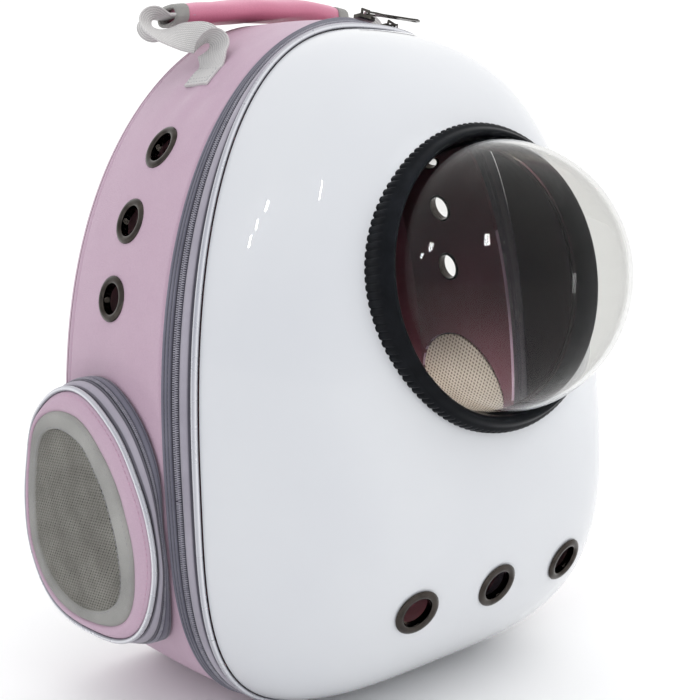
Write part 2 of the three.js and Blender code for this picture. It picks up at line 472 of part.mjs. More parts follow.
// -- zip sliders and their pull tabs --
const crest = (x, y) => {          // height of the outline's top at x, y
  const one = (s) => s.mid + (s.top - s.mid) * Math.pow(1 - Math.pow(Math.abs(x) / s.half, s.ux), 1 / s.uz);
  return lerp(one(SECTIONS[0]), one(SECTIONS[1]), (y + 7) / 24);
};
const block = (x0, x1, y0, y1, z0, z1) => { const g = new THREE.BoxGeometry(x1 - x0, y1 - y0, z1 - z0); g.translate((x0 + x1) / 2, (y0 + y1) / 2, (z0 + z1) / 2); return g; };
for (const s of SLIDERS) {
  const S = SLIDER, tilt = Math.atan2(crest(s.x + 5, S.y) - crest(s.x - 5, S.y), 10);
  const place = new THREE.Matrix4().makeTranslation(s.x, S.y, crest(s.x, S.y) + S.lift).multiply(new THREE.Matrix4().makeRotationY(-tilt));
  const nose = new THREE.Shape();
  nose.moveTo(-S.long / 2, -S.wide * 0.36); nose.lineTo(S.long * 0.1, -S.wide / 2); nose.lineTo(S.long * 0.42, -S.wide * 0.36);
  nose.lineTo(S.long / 2, 0); nose.lineTo(S.long * 0.42, S.wide * 0.36); nose.lineTo(S.long * 0.1, S.wide / 2); nose.lineTo(-S.long / 2, S.wide * 0.36);
  nose.closePath();
  const plate = new THREE.ExtrudeGeometry(nose, { depth: S.high - 1.2, bevelEnabled: false });
  plate.translate(0, 0, 0.6);
  const c = S.crown / 2, b = S.bar, top = S.high - 0.6;
  let body = join(plate, block(-c, -c + b, -b / 2, b / 2, top - 0.4, top + S.crownHigh));
  body = join(body, block(c - b, c, -b / 2, b / 2, top - 0.4, top + S.crownHigh));
  body = join(body, block(-c, c, -b / 2, b / 2, top + S.crownHigh - 1.1, top + S.crownHigh));
  body.applyMatrix4(place);
  add(`zip_slider_${s.name}`, body, 'gunmetal');
  // the pull: an eye whose end bar lies under the bridge, then the tab
  const P = PULL, e = P.eye, hw = P.eyeWide / 2, pb = P.bar;
  const outlineShape = new THREE.Shape();
  outlineShape.moveTo(-pb / 2, -hw); outlineShape.lineTo(e - 1, -hw); outlineShape.lineTo(e + 3, -P.wide / 2); outlineShape.lineTo(P.long - P.tip, -P.wide / 2);
  outlineShape.lineTo(P.long - 2, -P.tip / 2); outlineShape.lineTo(P.long, 0); outlineShape.lineTo(P.long - 2, P.tip / 2); outlineShape.lineTo(P.long - P.tip, P.wide / 2);
  outlineShape.lineTo(e + 3, P.wide / 2); outlineShape.lineTo(e - 1, hw); outlineShape.lineTo(-pb / 2, hw); outlineShape.closePath();
  const hole = new THREE.Path();
  hole.moveTo(pb / 2, -hw + pb); hole.lineTo(pb / 2, hw - pb); hole.lineTo(e - pb, hw - pb); hole.lineTo(e - pb, -hw + pb); hole.closePath();
  const slot = new THREE.Path();
  slot.moveTo(P.long - 5.4, -1.2); slot.lineTo(P.long - 5.4, 1.2); slot.lineTo(P.long - 2.6, 1.2); slot.lineTo(P.long - 2.6, -1.2); slot.closePath();
  outlineShape.holes.push(hole, slot);
  const tab = new THREE.ExtrudeGeometry(outlineShape, { depth: P.thick, bevelEnabled: false });
  tab.translate(0, 0, -P.thick / 2);
  const pivot = V(0, 0, top + S.pivot).applyMatrix4(place);
  const turn = new THREE.Matrix4().makeRotationZ(rad(s.yaw)).multiply(new THREE.Matrix4().makeRotationY(rad(s.dip)));
  tab.applyMatrix4(turn); tab.translate(pivot.x, pivot.y, pivot.z);
  const m = toGeometry(toSolid(tab));
  add(`zip_pull_${s.name}`, m, 'gunmetal');
}

// -- shoulder straps, their webbing and adjusters --
{
  const backY = (z) => SECTIONS[2].y + SECTIONS[2].lean * z, at = (r) => V(r.x, backY(r.z) + r.off, r.z);
  const pts = alongCurve(STRAP_LINE, at, 14), tail = alongCurve(TAIL_LINE, at, 6);
  const pad = loft(pts.map((p, i) => {
    const t = pts[Math.min(i + 1, pts.length - 1)].clone().sub(pts[Math.max(i - 1, 0)]).normalize(), w = V(1, 0, 0).addScaledVector(t, -t.x).normalize(), n = t.clone().cross(w);
    const k = i === 0 || i === pts.length - 1 ? 0.55 : 1, W = (i > 11 ? STRAP.wide - 7 * (i - 11) : STRAP.wide) / 2, T = STRAP.thick / 2 * k;
    return [[-1, -0.35], [-0.82, -1], [0.82, -1], [1, -0.35], [1, 0.35], [0.82, 1], [-0.82, 1], [-1, 0.35]].map(([a, b]) => p.clone().addScaledVector(w, a * W).addScaledVector(n, b * T));
  }), false);
  const web = ribbon(tail, tail.map(() => V(1, 0, 0)), STRAP.web, 1.8);
  const a = { x: 97.2, z: ADJUSTER.z, off: 16.4 }, p = at(a), dir = tail[0].clone().sub(pts[pts.length - 1]).normalize();
  const frame = new THREE.Shape();
  frame.moveTo(-ADJUSTER.wide / 2, -2.3); frame.lineTo(ADJUSTER.wide / 2, -2.3); frame.lineTo(ADJUSTER.wide / 2, 2.3); frame.lineTo(-ADJUSTER.wide / 2, 2.3); frame.closePath();
  const buckle = new THREE.ExtrudeGeometry(frame, { depth: ADJUSTER.thick, bevelEnabled: false });
  buckle.translate(0, 0, -ADJUSTER.thick / 2);
  buckle.applyMatrix4(new THREE.Matrix4().makeBasis(V(1, 0, 0), dir.clone().negate().setX(0).normalize(), V(1, 0, 0).cross(dir.clone().negate().setX(0).normalize())));
  buckle.translate(p.x, p.y, p.z);
  for (const side of ['left', 'right']) {
    const f = side === 'right' ? (g) => g : mirrored;
    add(`strap_${side}`, f(pad), 'pad');
    add(`strap_webbing_${side}`, f(web), 'web');
    add(`strap_adjuster_${side}`, f(toGeometry(toSolid(buckle))), 'plastic');
  }
}

export default group;
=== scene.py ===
import json
import math

import bmesh
import bpy
import numpy as np
from mathutils import Matrix, Vector

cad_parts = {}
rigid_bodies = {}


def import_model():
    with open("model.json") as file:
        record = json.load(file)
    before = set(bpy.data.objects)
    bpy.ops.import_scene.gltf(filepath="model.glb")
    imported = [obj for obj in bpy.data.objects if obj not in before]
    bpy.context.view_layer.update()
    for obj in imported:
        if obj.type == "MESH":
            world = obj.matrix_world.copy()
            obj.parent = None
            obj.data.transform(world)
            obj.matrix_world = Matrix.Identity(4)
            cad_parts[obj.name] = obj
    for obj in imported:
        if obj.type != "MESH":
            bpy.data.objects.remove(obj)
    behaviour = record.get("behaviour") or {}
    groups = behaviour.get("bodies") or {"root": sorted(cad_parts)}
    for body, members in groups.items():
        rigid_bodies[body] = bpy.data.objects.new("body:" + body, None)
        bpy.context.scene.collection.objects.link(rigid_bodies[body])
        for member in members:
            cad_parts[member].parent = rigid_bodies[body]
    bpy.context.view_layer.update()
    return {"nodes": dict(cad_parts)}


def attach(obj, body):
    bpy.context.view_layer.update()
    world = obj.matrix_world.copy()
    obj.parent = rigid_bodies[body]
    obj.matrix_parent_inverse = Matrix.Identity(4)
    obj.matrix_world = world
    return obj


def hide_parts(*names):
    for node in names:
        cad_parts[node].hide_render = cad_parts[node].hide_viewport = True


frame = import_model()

SHIFT_Y = -0.65
rad = math.radians

# ------------------------------------------------------------------ tables
SECT = [
    dict(y=0.0, lean=-0.017, half=141.0, mid=147.4, top=418, base=1.5, ux=2.565, uz=2.476, lx=3.99, lz=3.53, taper=0.059, low=1.5),
    dict(y=24.0, lean=-0.017, half=150.3, mid=143.8, top=428, base=-2.5, ux=1.81, uz=2.507, lx=3.91, lz=3.235, taper=-0.012, low=0.0),
    dict(y=153.7, lean=-0.058, half=159.7, mid=139.0, top=441, base=-2.5, ux=1.685, uz=2.479, lx=3.60, lz=3.00, taper=-0.008, low=0.0),
]
SHELL = dict(depth=109.5, p=5.28, q=1.278, hub=267.6, recede=0.0008, start=175, soft=1600, wall=2.6)
RING = dict(y=-103.2, z=265.5, tilt=6.6, outer=88.2, hole=83.2)
DOME = dict(radius=78.6, rise=-1.3, wall=2.2, flange=82.6)
EYE = dict(flange=14.6, hole=9.4, neck=11.0, proud=1.8, cut=11.4)
FRONT_EYES, FRONT_EYE_Z = (-62.4, 0.0, 62.4), 82.5
SIDE_EYES = [("top", 67.4, 352.0), ("middle", 74.9, 307.8), ("bottom", 81.4, 260.7)]
ZIP_START = -68.0
BAND_Y = (24.1, 143.6)
BAND_WALL = 3.5
BACK_Y0, BACK_Y1, BACK_WALL, BACK_ROUND = 144.0, 153.7, 7.0, 9.6
POD_Y, POD_Z = 88.0, 128.0
POD = dict(  # by the clock, every 30 degrees from the top towards the front
    face=[80.0, 69.0, 61.0, 62.8, 72.0, 82.0, 76.0, 73.0, 64.0, 57.5, 59.5, 72.8],
    foot=[84.5, 78.5, 71.0, 62.5, 71.5, 87.0, 83.0, 77.0, 64.0, 54.5, 61.0, 80.0],
    binding=[62.4, 48.3, 42.1, 43.0, 53.5, 69.5, 68.0, 66.0, 58.5, 52.0, 54.5, 66.5],
    mesh=[48.0, 33.5, 28.0, 28.6, 37.5, 57.0, 61.0, 59.0, 52.0, 45.6, 48.0, 57.5],
)
PLANE_X, PLANE_Y, PLANE_SLOPE = 161.0, 25.0, 0.211
POD_HINGE = (246.0, 296.0)
POD_OPENING = 7.0
GRIP = dict(y=118.0, wide=28.0, thick=14.5, binding=9.5)
GRIP_LINE = [(-72, 441.5), (-46, 444.6), (-16, 448.2), (14, 450.6), (44, 451.2), (74, 448.4)]
WEB = dict(wide=25.0, thick=1.8, anchor_y=66.0, low=389.0, high=401.0)
WEB_LINE = [  # x, y, z, then the width's direction
    (-68, 118, 441.4, 0, 1, 0), (-80, 117, 440.6, 0, 1, 0.05), (-88, 112, 436.5, 0.25, 0.95, 0.05),
    (-91, 104, 430.5, 0.5, 0.8, 0.2), (-86, 95, 426.0, 0.6, 0.6, 0.5), (-77, 86, 423.5, 0.45, 0.4, 0.8),
    (-70, 78, 421.5, 0.1, 0.55, 0.8), (-67, 71, 416.0, -0.15, 0.9, 0.35), (-70, 67, 408.5, -0.13, 0.99, 0),
]
STRAP_LINE = [(38, 404, 5.6), (40, 388, 13), (46, 352, 29), (55, 306, 37), (66, 258, 38), (78, 208, 33), (89, 158, 25), (96, 118, 18)]
TAIL_LINE = [(98, 104, 15.5), (101, 80, 10), (104, 54, 4.5), (105, 34, 1.6)]


# ------------------------------------------------------------------ mesh helpers
def unit(a):
    a = np.asarray(a, float)
    return a / np.maximum(np.linalg.norm(a, axis=-1, keepdims=True), 1e-12)


def grid(P, cu=False, cv=False):
    """Quads over a n x m x 3 array of points; cu and cv close the first and second index."""
    n, m = P.shape[:2]
    i, j = np.meshgrid(np.arange(n if cu else n - 1), np.arange(m if cv else m - 1), indexing="ij")
    a, b = i * m + j, i * m + (j + 1) % m
    c, d = ((i + 1) % n) * m + (j + 1) % m, ((i + 1) % n) * m + j
    return P.reshape(-1, 3), np.stack([a, b, c, d], -1).reshape(-1, 4).tolist()


def tube(P, cu=False):
    """A loft of closed sections, capped at both ends unless it closes on itself."""
    v, f = grid(P, cu, True)
    n, m = P.shape[:2]
    if not cu:
        f += [list(range(m)), list(range((n - 1) * m, n * m))]
    return v, f


def joined(*parts):
    verts, faces, k = [], [], 0
    for v, f in parts:
        verts.append(np.asarray(v, float).reshape(-1, 3))
        faces += [[i + k for i in q] for q in f]
        k += len(verts[-1])
    return np.concatenate(verts), faces


def mirror(part):
    v = np.array(part[0], float)
    v[:, 0] *= -1
    return v, part[1]


def make(name, part, mats, replaces=(), body="carrier", angle=40, run=None, pick=None, keep=None, subsurf=0):
    """One piece of the object. run gives a vector at each point, pick a material index for a face's middle."""
    v, f = part
    me = bpy.data.meshes.new(name)
    w = np.array(v, float).copy()
    w[:, 1] += SHIFT_Y
    me.from_pydata((w / 1000).tolist(), [], f)
    if run is not None:
        a = me.attributes.new("run", "FLOAT_VECTOR", "POINT")
        a.data.foreach_set("vector", np.asarray(run, np.float32).ravel())
    bm = bmesh.new()
    bm.from_mesh(me)
    bmesh.ops.recalc_face_normals(bm, faces=bm.faces)
    bm.to_mesh(me)
    bm.free()
    o = bpy.data.objects.new(name, me)
    bpy.context.scene.collection.objects.link(o)
    for m in mats if isinstance(mats, (list, tuple)) else [mats]:
        me.materials.append(m)
    if pick is not None:
        for p in me.polygons:
            p.material_index = pick(p.center * 1000, p.normal)
    if subsurf:
        s = o.modifiers.new("fine", "SUBSURF")
        s.levels = s.render_levels = subsurf
    me.shade_smooth()
    if angle < 180:
        me.set_sharp_from_angle(angle=rad(angle))
    if body:
        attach(o, body)
    if replaces:
        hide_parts(*replaces)
    return o


def cut(o, tools):
    """Cuts the tools' closed shapes out of o and keeps the result."""
    t = []
    for k, part in enumerate(tools):
        c = make("cutter%d" % k, part, [], body=None, angle=180)
        t.append(c)
        b = o.modifiers.new("cut%d" % k, "BOOLEAN")
        b.operation, b.object, b.solver = "DIFFERENCE", c, "MANIFOLD"
    dg = bpy.context.evaluated_depsgraph_get()
    new = bpy.data.meshes.new_from_object(o.evaluated_get(dg), depsgraph=dg)
    old = o.data
    o.modifiers.clear()
    o.data = new
    bpy.data.meshes.remove(old)
    for c in t:
        me = c.data
        bpy.data.objects.remove(c)
        bpy.data.meshes.remove(me)
    return o


def rod(p, n, r, h0, h1, div=72):
    p, n = np.asarray(p, float), unit(n)
    a = unit(np.cross(n, [0.3, 0.2, 0.9] if abs(n[2]) < 0.9 else [1, 0, 0]))
    b = np.cross(n, a)
    t = np.arange(div) * 2 * math.pi / div
    ring = np.cos(t)[:, None] * a + np.sin(t)[:, None] * b
    return tube(np.stack([p + r * ring + n * h0, p + r * ring + n * h1]))


def turned(profile, p, n, div=96, wave=None):
    """A closed profile of radius and height turned about n at p. wave(angle, radius, height) moves the radius."""
    p, n = np.asarray(p, float), unit(n)
    a = unit(np.cross([0, 0, 1.0], n) if abs(n[2]) < 0.95 else np.array([1.0, 0, 0]))
    b = np.cross(n, a)
    t = np.arange(div) * 2 * math.pi / div
    pr = np.asarray(profile, float)
    R = np.repeat(pr[None, :, 0], div, 0)
    H = np.repeat(pr[None, :, 1], div, 0)
    if wave is not None:
        R, H = wave(t[:, None], R, H)
    d = np.cos(t)[:, None] * a + np.sin(t)[:, None] * b
    P = p + R[..., None] * d[:, None, :] + H[..., None] * n
    return grid(P, True, True)


def smooth_closed(rows, n):
    """A closed profile rounded through its corner points by a periodic Catmull-Rom curve."""
    r = np.asarray(rows, float)
    k = len(r)
    t = np.arange(n) * k / n
    i = np.floor(t).astype(int)
    w = (t - i)[:, None]
    a, b, c, d = r[(i - 1) % k], r[i % k], r[(i + 1) % k], r[(i + 2) % k]
    return 0.5 * (2 * b + (c - a) * w + (2 * a - 5 * b + 4 * c - d) * w ** 2 + (3 * b - a - 3 * c + d) * w ** 3)


def curve(rows, n):
    """n points evenly along a smooth curve through the rows."""
    r = np.asarray(rows, float)
    e = np.vstack([2 * r[0] - r[1], r, 2 * r[-1] - r[-2]])
    out = []
    for k in range(len(r) - 1):
        w = np.linspace(0, 1, 24, endpoint=False)[:, None]
        a, b, c, d = e[k], e[k + 1], e[k + 2], e[k + 3]
        out.append(0.5 * (2 * b + (c - a) * w + (2 * a - 5 * b + 4 * c - d) * w ** 2 + (3 * b - a - 3 * c + d) * w ** 3))
    out = np.vstack(out + [r[-1:]])
    s = np.concatenate([[0], np.cumsum(np.linalg.norm(np.diff(out[:, :3], axis=0), axis=1))])
    t = np.linspace(0, s[-1], n)
    return np.stack([np.interp(t, s, out[:, k]) for k in range(out.shape[1])], 1)


def frames(path, side):
    """Tangent, width and normal along a path whose width lies along side."""
    t = unit(np.gradient(path, axis=0))
    w = unit(side - t * (side * t).sum(1, keepdims=True))
    return t, w, np.cross(t, w)


def swept(path, side, section, taper=None):
    """section: m x 2 of width and normal offsets."""
    t, w, n = frames(path, side)
    s = np.asarray(section, float)
    S = np.repeat(s[None], len(path), 0) if s.ndim == 2 else s
    if taper is not None:
        S = S * np.asarray(taper)[:, None, :]
    return path[:, None, :] + S[..., :1] * w[:, None, :] + S[..., 1:] * n[:, None, :]


def rounded(wide, thick, r, steps=3, crown=0.0, n_top=7):
    """A flat closed section, rounded at its edges and crowned on both faces."""
    pts = []
    for sx, sy in ((1, 1), (-1, 1), (-1, -1), (1, -1)):
        cx, cy = sx * (wide / 2 - r), sy * (thick / 2 - r)
        a0 = {(1, 1): 0, (-1, 1): 90, (-1, -1): 180, (1, -1): 270}[(sx, sy)]
        for k in range(steps + 1):
            a = rad(a0 + 90 * k / steps)
            pts.append((cx + r * math.cos(a), cy + r * math.sin(a)))
        if (sx, sy) in ((1, 1), (-1, -1)):
            x0, x1 = (wide / 2 - r, -wide / 2 + r) if sy > 0 else (-wide / 2 + r, wide / 2 - r)
            for k in range(1, n_top):
                x = x0 + (x1 - x0) * k / n_top
                pts.append((x, sy * (thick / 2 + crown * math.cos(math.pi * x / (wide - 2 * r)))))
    return np.array(pts)


def bars(A, B, N, wide, high, sink=0.35, sides=6, stations=4):
    """Many small rounded bars from A to B, standing on a surface whose normal is N."""
    A, B, N = (np.asarray(x, float) for x in (A, B, N))
    t = unit(B - A)
    s = unit(np.cross(N, t))
    k = np.linspace(0, 1, stations)
    r = np.sqrt(np.clip(1 - (2 * k - 1) ** 4, 0.10, 1))
    a = np.arange(sides) * 2 * math.pi / sides
    C = A[:, None, :] + (B - A)[:, None, :] * k[None, :, None] - N[:, None, :] * (high * sink * (2 * k - 1) ** 2)[None, :, None]
    P = (C[:, :, None, :] + s[:, None, None, :] * (wide / 2 * r[:, None] * np.cos(a))[None, :, :, None]
         + N[:, None, None, :] * (high / 2 * r[:, None] * np.sin(a))[None, :, :, None])
    q = len(A)
    base = np.arange(q)[:, None] * stations * sides
    i, j = np.meshgrid(np.arange(stations - 1), np.arange(sides), indexing="ij")
    i, j = i.ravel(), j.ravel()
    f = np.stack([i * sides + j, i * sides + (j + 1) % sides, (i + 1) * sides + (j + 1) % sides, (i + 1) * sides + j], -1)
    faces = (base[:, :, None] + f[None]).reshape(-1, 4).tolist()
    cap = np.concatenate([np.arange(sides)[::-1][None], (stations - 1) * sides + np.arange(sides)[None]])
    faces += (base[:, :, None] + cap[None]).reshape(-1, sides).tolist()
    return P.reshape(-1, 3), faces


def along(path, normals, pitch, length, closed=False, shift=0.0):
    """Start and end points and normals for a row of stitches along a path."""
    p = np.asarray(path, float)
    nm = np.asarray(normals, float)
    if closed:
        p, nm = np.vstack([p, p[:1]]), np.vstack([nm, nm[:1]])
    s = np.concatenate([[0], np.cumsum(np.linalg.norm(np.diff(p, axis=0), axis=1))])
    n = max(2, int(round(s[-1] / pitch)))
    step = s[-1] / n
    t = (np.arange(n) + 0.15 + shift) * step
    t = t[t + length < s[-1] + 1e-6]
    f = lambda q, x: np.stack([np.interp(x, s, q[:, k]) for k in range(3)], 1)
    return f(p, t), f(p, t + length), unit(f(nm, t + length / 2))


# ------------------------------------------------------------------ body outline
def outline(s, deg):
    c, w = np.cos(np.radians(deg)), np.sin(np.radians(deg))
    c = np.where(np.abs(c) < 1e-12, 0, c)
    up = w >= 0
    x = s["half"] * np.sign(c) * np.abs(c) ** np.where(up, 2 / s["ux"], 2 / s["lx"])
    z = np.where(up, s["mid"] + (s["top"] - s["mid"]) * np.abs(w) ** (2 / s["uz"]),
                 s["mid"] - (s["mid"] - s["base"]) * np.abs(w) ** (2 / s["lz"]))
    x = x * (1 + s["taper"] * (s["mid"] - z) / s["top"])
    return np.stack([x, s["y"] + s["lean"] * z, np.maximum(z, s["low"])], -1)


def on_body(deg, y):
    deg, y = np.broadcast_arrays(np.asarray(deg, float), np.asarray(y, float))
    o = [outline(s, deg) for s in SECT]
    w0 = ((y - SECT[0]["y"]) / (SECT[1]["y"] - SECT[0]["y"]))[..., None]
    w1 = ((y - SECT[1]["y"]) / (SECT[2]["y"] - SECT[1]["y"]))[..., None]
    return np.where((y <= SECT[1]["y"])[..., None], o[0] + (o[1] - o[0]) * w0, o[1] + (o[2] - o[1]) * w1)


def outward(deg, y):
    d = on_body(np.asarray(deg) + 0.5, y) - on_body(np.asarray(deg) - 0.5, y)
    return unit(np.stack([d[..., 2], 0 * d[..., 0], -d[..., 0]], -1))


def on_strip(deg, y, out):
    p = on_body(deg, y) + outward(deg, y) * np.asarray(out, float)[..., None]
    p[..., 2] = np.maximum(p[..., 2], 0)
    return p


def wall_at(y, z):
    y, z = np.broadcast_arrays(np.asarray(y, float), np.asarray(z, float))

    def half(s):
        up = z >= s["mid"]
        e = np.where(up, (z - s["mid"]) / (s["top"] - s["mid"]), (s["mid"] - z) / (s["mid"] - s["base"]))
        k = np.clip(1 - np.clip(e, 0, 1) ** np.where(up, s["uz"], s["lz"]), 0, 1)
        return s["half"] * k ** np.where(up, 1 / s["ux"], 1 / s["lx"]) * (1 + s["taper"] * (s["mid"] - z) / s["top"])
    h = [half(s) for s in SECT]
    at = [s["y"] + s["lean"] * z for s in SECT]
    first = y <= SECT[1]["y"]
    a = h[0] + (h[1] - h[0]) * (y - at[0]) / (at[1] - at[0])
    b = h[1] + (h[2] - h[1]) * (y - at[1]) / (at[2] - at[1])
    return np.where(first, a, b)


def even(n, y=12.0, a0=-90.0, a1=270.0, closed=True):
    """Angles that stand evenly along the outline, and their distance along it."""
    d = np.linspace(a0, a1, 8001)
    p = on_body(d, y)
    s = np.concatenate([[0], np.cumsum(np.linalg.norm(np.diff(p, axis=0), axis=1))])
    t = np.linspace(0, s[-1], n + 1)[:-1] if closed else np.linspace(0, s[-1], n)
    return np.interp(t, s, d), t


# ------------------------------------------------------------------ shell surface
def recede(z):
    s = z - SHELL["start"]
    return 1 - SHELL["recede"] * (s + np.sqrt(s * s + SHELL["soft"])) / 2


def shell_point(deg, r):
    """r: 1 at the rim, 0 at the hub."""
    e = outline(SECT[0], deg)
    u = np.clip(1 - r ** SHELL["p"], 0, 1) ** (1 / SHELL["q"])
    x, z = e[..., 0] * r, SHELL["hub"] + (e[..., 2] - SHELL["hub"]) * r
    return np.stack([x, SECT[0]["lean"] * z - SHELL["depth"] * u * recede(z), z], -1)


_d = np.linspace(-180, 180, 16001)
_e = outline(SECT[0], _d)
_a = np.arctan2(_e[:, 2] - SHELL["hub"], _e[:, 0])
_o = np.argsort(_a)
_A, _R = _a[_o], np.hypot(_e[:, 0], _e[:, 2] - SHELL["hub"])[_o]


def shell_y(x, z):
    x, z = np.broadcast_arrays(np.asarray(x, float), np.asarray(z, float))
    r = np.clip(np.hypot(x, z - SHELL["hub"]) / np.interp(np.arctan2(z - SHELL["hub"], x), _A, _R, period=2 * math.pi), 0, 1)
    u = np.clip(1 - r ** SHELL["p"], 0, 1) ** (1 / SHELL["q"])
    return SECT[0]["lean"] * z - SHELL["depth"] * u * recede(z)


def shell_seat(x, z):
    g = 1.5
    n = unit([(shell_y(x + g, z) - shell_y(x - g, z)) / (2 * g), -1.0, (shell_y(x, z + g) - shell_y(x, z - g)) / (2 * g)])
    return np.array([x, float(shell_y(x, z)), z]), n


RING_N = np.array([0, -math.cos(rad(RING["tilt"])), math.sin(rad(RING["tilt"]))])
RING_P = np.array([0, RING["y"], RING["z"]])


# ------------------------------------------------------------------ materials
def srgb(r, g, b):
    return tuple(((c / 255) / 12.92 if c / 255 <= 0.04045 else (((c / 255) + 0.055) / 1.055) ** 2.4) for c in (r, g, b)) + (1.0,)


class Mat:
    """A Principled material with a few chained helpers."""

    def __init__(self, name, **values):
        self.m = bpy.data.materials.new(name)
        self.m.use_nodes = True
        self.nt = self.m.node_tree
        self.b = self.nt.nodes["Principled BSDF"]
        for k, v in values.items():
            self.b.inputs[k.replace("_", " ")].default_value = v
        self.last_bump = None

    def n(self, kind, props=None, **inputs):
        x = self.nt.nodes.new("ShaderNode" + kind)
        for k, v in (props or {}).items():
            setattr(x, k, v)
        for k, v in inputs.items():
            k = k.replace("_", " ")
            s = x.inputs[int(k[1:])] if k[0] == "i" and k[1:].isdigit() else x.inputs[k]
            if isinstance(v, bpy.types.NodeSocket):
                self.nt.links.new(v, s)
            else:
                s.default_value = v
        return x

    def link(self, a, b):
        self.nt.links.new(a, self.b.inputs[b] if isinstance(b, str) else b)

    def coord(self, scale=(1, 1, 1), attr=None, rot=(0, 0, 0)):
        src = (self.n("Attribute", {"attribute_name": attr, "attribute_type": "GEOMETRY"}).outputs["Vector"] if attr
               else self.n("TexCoord").outputs["Object"])
        return self.n("Mapping", Vector=src, Scale=scale, Rotation=rot).outputs["Vector"]

    def noise(self, scale, detail=4.0, rough=0.55, vec=None, dist=0.0):
        return self.n("TexNoise", Vector=vec or self.coord(), Scale=scale, Detail=detail, Roughness=rough, Distortion=dist).outputs["Fac"]

    def ramp(self, fac, *stops):
        x = self.n("ValToRGB", Fac=fac)
        e = x.color_ramp.elements
        while len(e) < len(stops):
            e.new(0.5)
        for s, (p, c) in zip(e, stops):
            s.position = p
            s.color = c if len(c) == 4 else (*c, 1)
        return x.outputs["Color"]

    def rng(self, v, a, b, c, d):
        return self.n("MapRange", Value=v, From_Min=a, From_Max=b, To_Min=c, To_Max=d).outputs["Result"]

    def math(self, op, a, b=0.0, clamp=False):
        return self.n("Math", {"operation": op, "use_clamp": clamp}, i0=a, i1=b).outputs[0]

    def mix(self, fac, a, b, how="MIX"):
        x = self.nt.nodes.new("ShaderNodeMix")
        x.data_type, x.blend_type = "RGBA", how
        for s, v in ((x.inputs[0], fac), (x.inputs[6], a), (x.inputs[7], b)):
            if isinstance(v, bpy.types.NodeSocket):
                self.nt.links.new(v, s)
            else:
                s.default_value = v
        return x.outputs[2]

    def bump(self, height, distance, strength=1.0):
        x = self.n("Bump", Height=height, Distance=distance, Strength=strength)
        if self.last_bump is not None:
            self.nt.links.new(self.last_bump, x.inputs["Normal"])
        self.last_bump = x.outputs["Normal"]
        self.link(self.last_bump, "Normal")
        return self

    def sep(self, vec):
        return self.n("SeparateXYZ", Vector=vec).outputs


def m_shell():
    k = Mat("shell_gloss", IOR=1.45, Specular_IOR_Level=0.2, Coat_Weight=1.0, Coat_Roughness=0.02, Coat_IOR=1.4)
    n = k.noise(9, 3)
    k.link(k.ramp(n, (0.3, srgb(208, 210, 214)), (0.7, srgb(212, 214, 217))), "Base Color")
    k.link(k.rng(k.noise(60, 4), 0.3, 0.7, 0.3, 0.38), "Roughness")
    k.bump(k.noise(24, 1, 0.3), 0.00003, 0.3)
    return k.m


def m_dark_inside():
    k = Mat("shell_inside", IOR=1.5)
    k.link(k.ramp(k.noise(40), (0.3, srgb(24, 24, 26)), (0.7, srgb(34, 33, 36))), "Base Color")
    k.link(k.rng(k.noise(200), 0.3, 0.7, 0.42, 0.6), "Roughness")
    k.bump(k.noise(900, 2), 0.0001, 0.5)
    return k.m


def m_acrylic():
    k = Mat("clear_acrylic", IOR=1.21, Transmission_Weight=1.0)
    k.b.inputs["Base Color"].default_value = srgb(230, 230, 228)
    k.link(k.rng(k.noise(30, 3), 0.3, 0.7, 0.002, 0.006), "Roughness")
    out = k.nt.nodes["Material Output"]
    clear = k.n("BsdfTransparent", Color=(0.93, 0.93, 0.92, 1))
    path = k.n("LightPath")
    mix = k.n("MixShader", Fac=path.outputs["Is Shadow Ray"])
    k.nt.links.new(k.b.outputs[0], mix.inputs[1])
    k.nt.links.new(clear.outputs[0], mix.inputs[2])
    k.nt.links.new(mix.outputs[0], out.inputs["Surface"])
    return k.m


def m_rubber():
    k = Mat("black_rubber", IOR=1.4, Specular_IOR_Level=0.1)
    k.link(k.ramp(k.noise(120, 4), (0.3, srgb(11, 13, 16)), (0.75, srgb(20, 22, 26))), "Base Color")
    k.link(k.rng(k.noise(70, 4), 0.3, 0.7, 0.28, 0.4), "Roughness")
    k.bump(k.noise(1500, 3), 0.00008, 0.6)
    return k.m


def m_nickel(name="black_nickel", lo=(50, 46, 43), hi=(74, 69, 65), r=(0.07, 0.15)):
    k = Mat(name, Metallic=1.0)
    k.link(k.ramp(k.noise(160, 4), (0.3, srgb(*lo)), (0.7, srgb(*hi))), "Base Color")
    k.link(k.rng(k.noise(420, 5, 0.7), 0.3, 0.7, *r), "Roughness")
    k.bump(k.noise(700, 3), 0.00004, 0.5)
    return k.m


def m_piping_painted_light():
    k = Mat("silver_piping_painted_light", Metallic=0.55, IOR=1.5)
    # painted highlight and painted shade: the run's third value is the angle round the piping's tube, drawn bright
    # along the crest and dark on both flanks
    t = k.sep(k.coord(attr="run"))[2]
    c = k.ramp(t, (0.0, srgb(74, 73, 80)), (0.34, srgb(104, 103, 111)), (0.55, srgb(158, 158, 165)), (0.78, srgb(238, 239, 243)), (0.9, srgb(226, 227, 232)), (1.0, srgb(178, 179, 186)))
    k.link(k.mix(0.25, c, k.ramp(k.noise(30, 3), (0.3, srgb(140, 140, 147)), (0.7, srgb(170, 170, 177)))), "Base Color")
    k.link(k.rng(k.noise(60, 3), 0.3, 0.7, 0.24, 0.32), "Roughness")
    k.bump(k.noise(900, 2), 0.00002, 0.3)
    return k.m


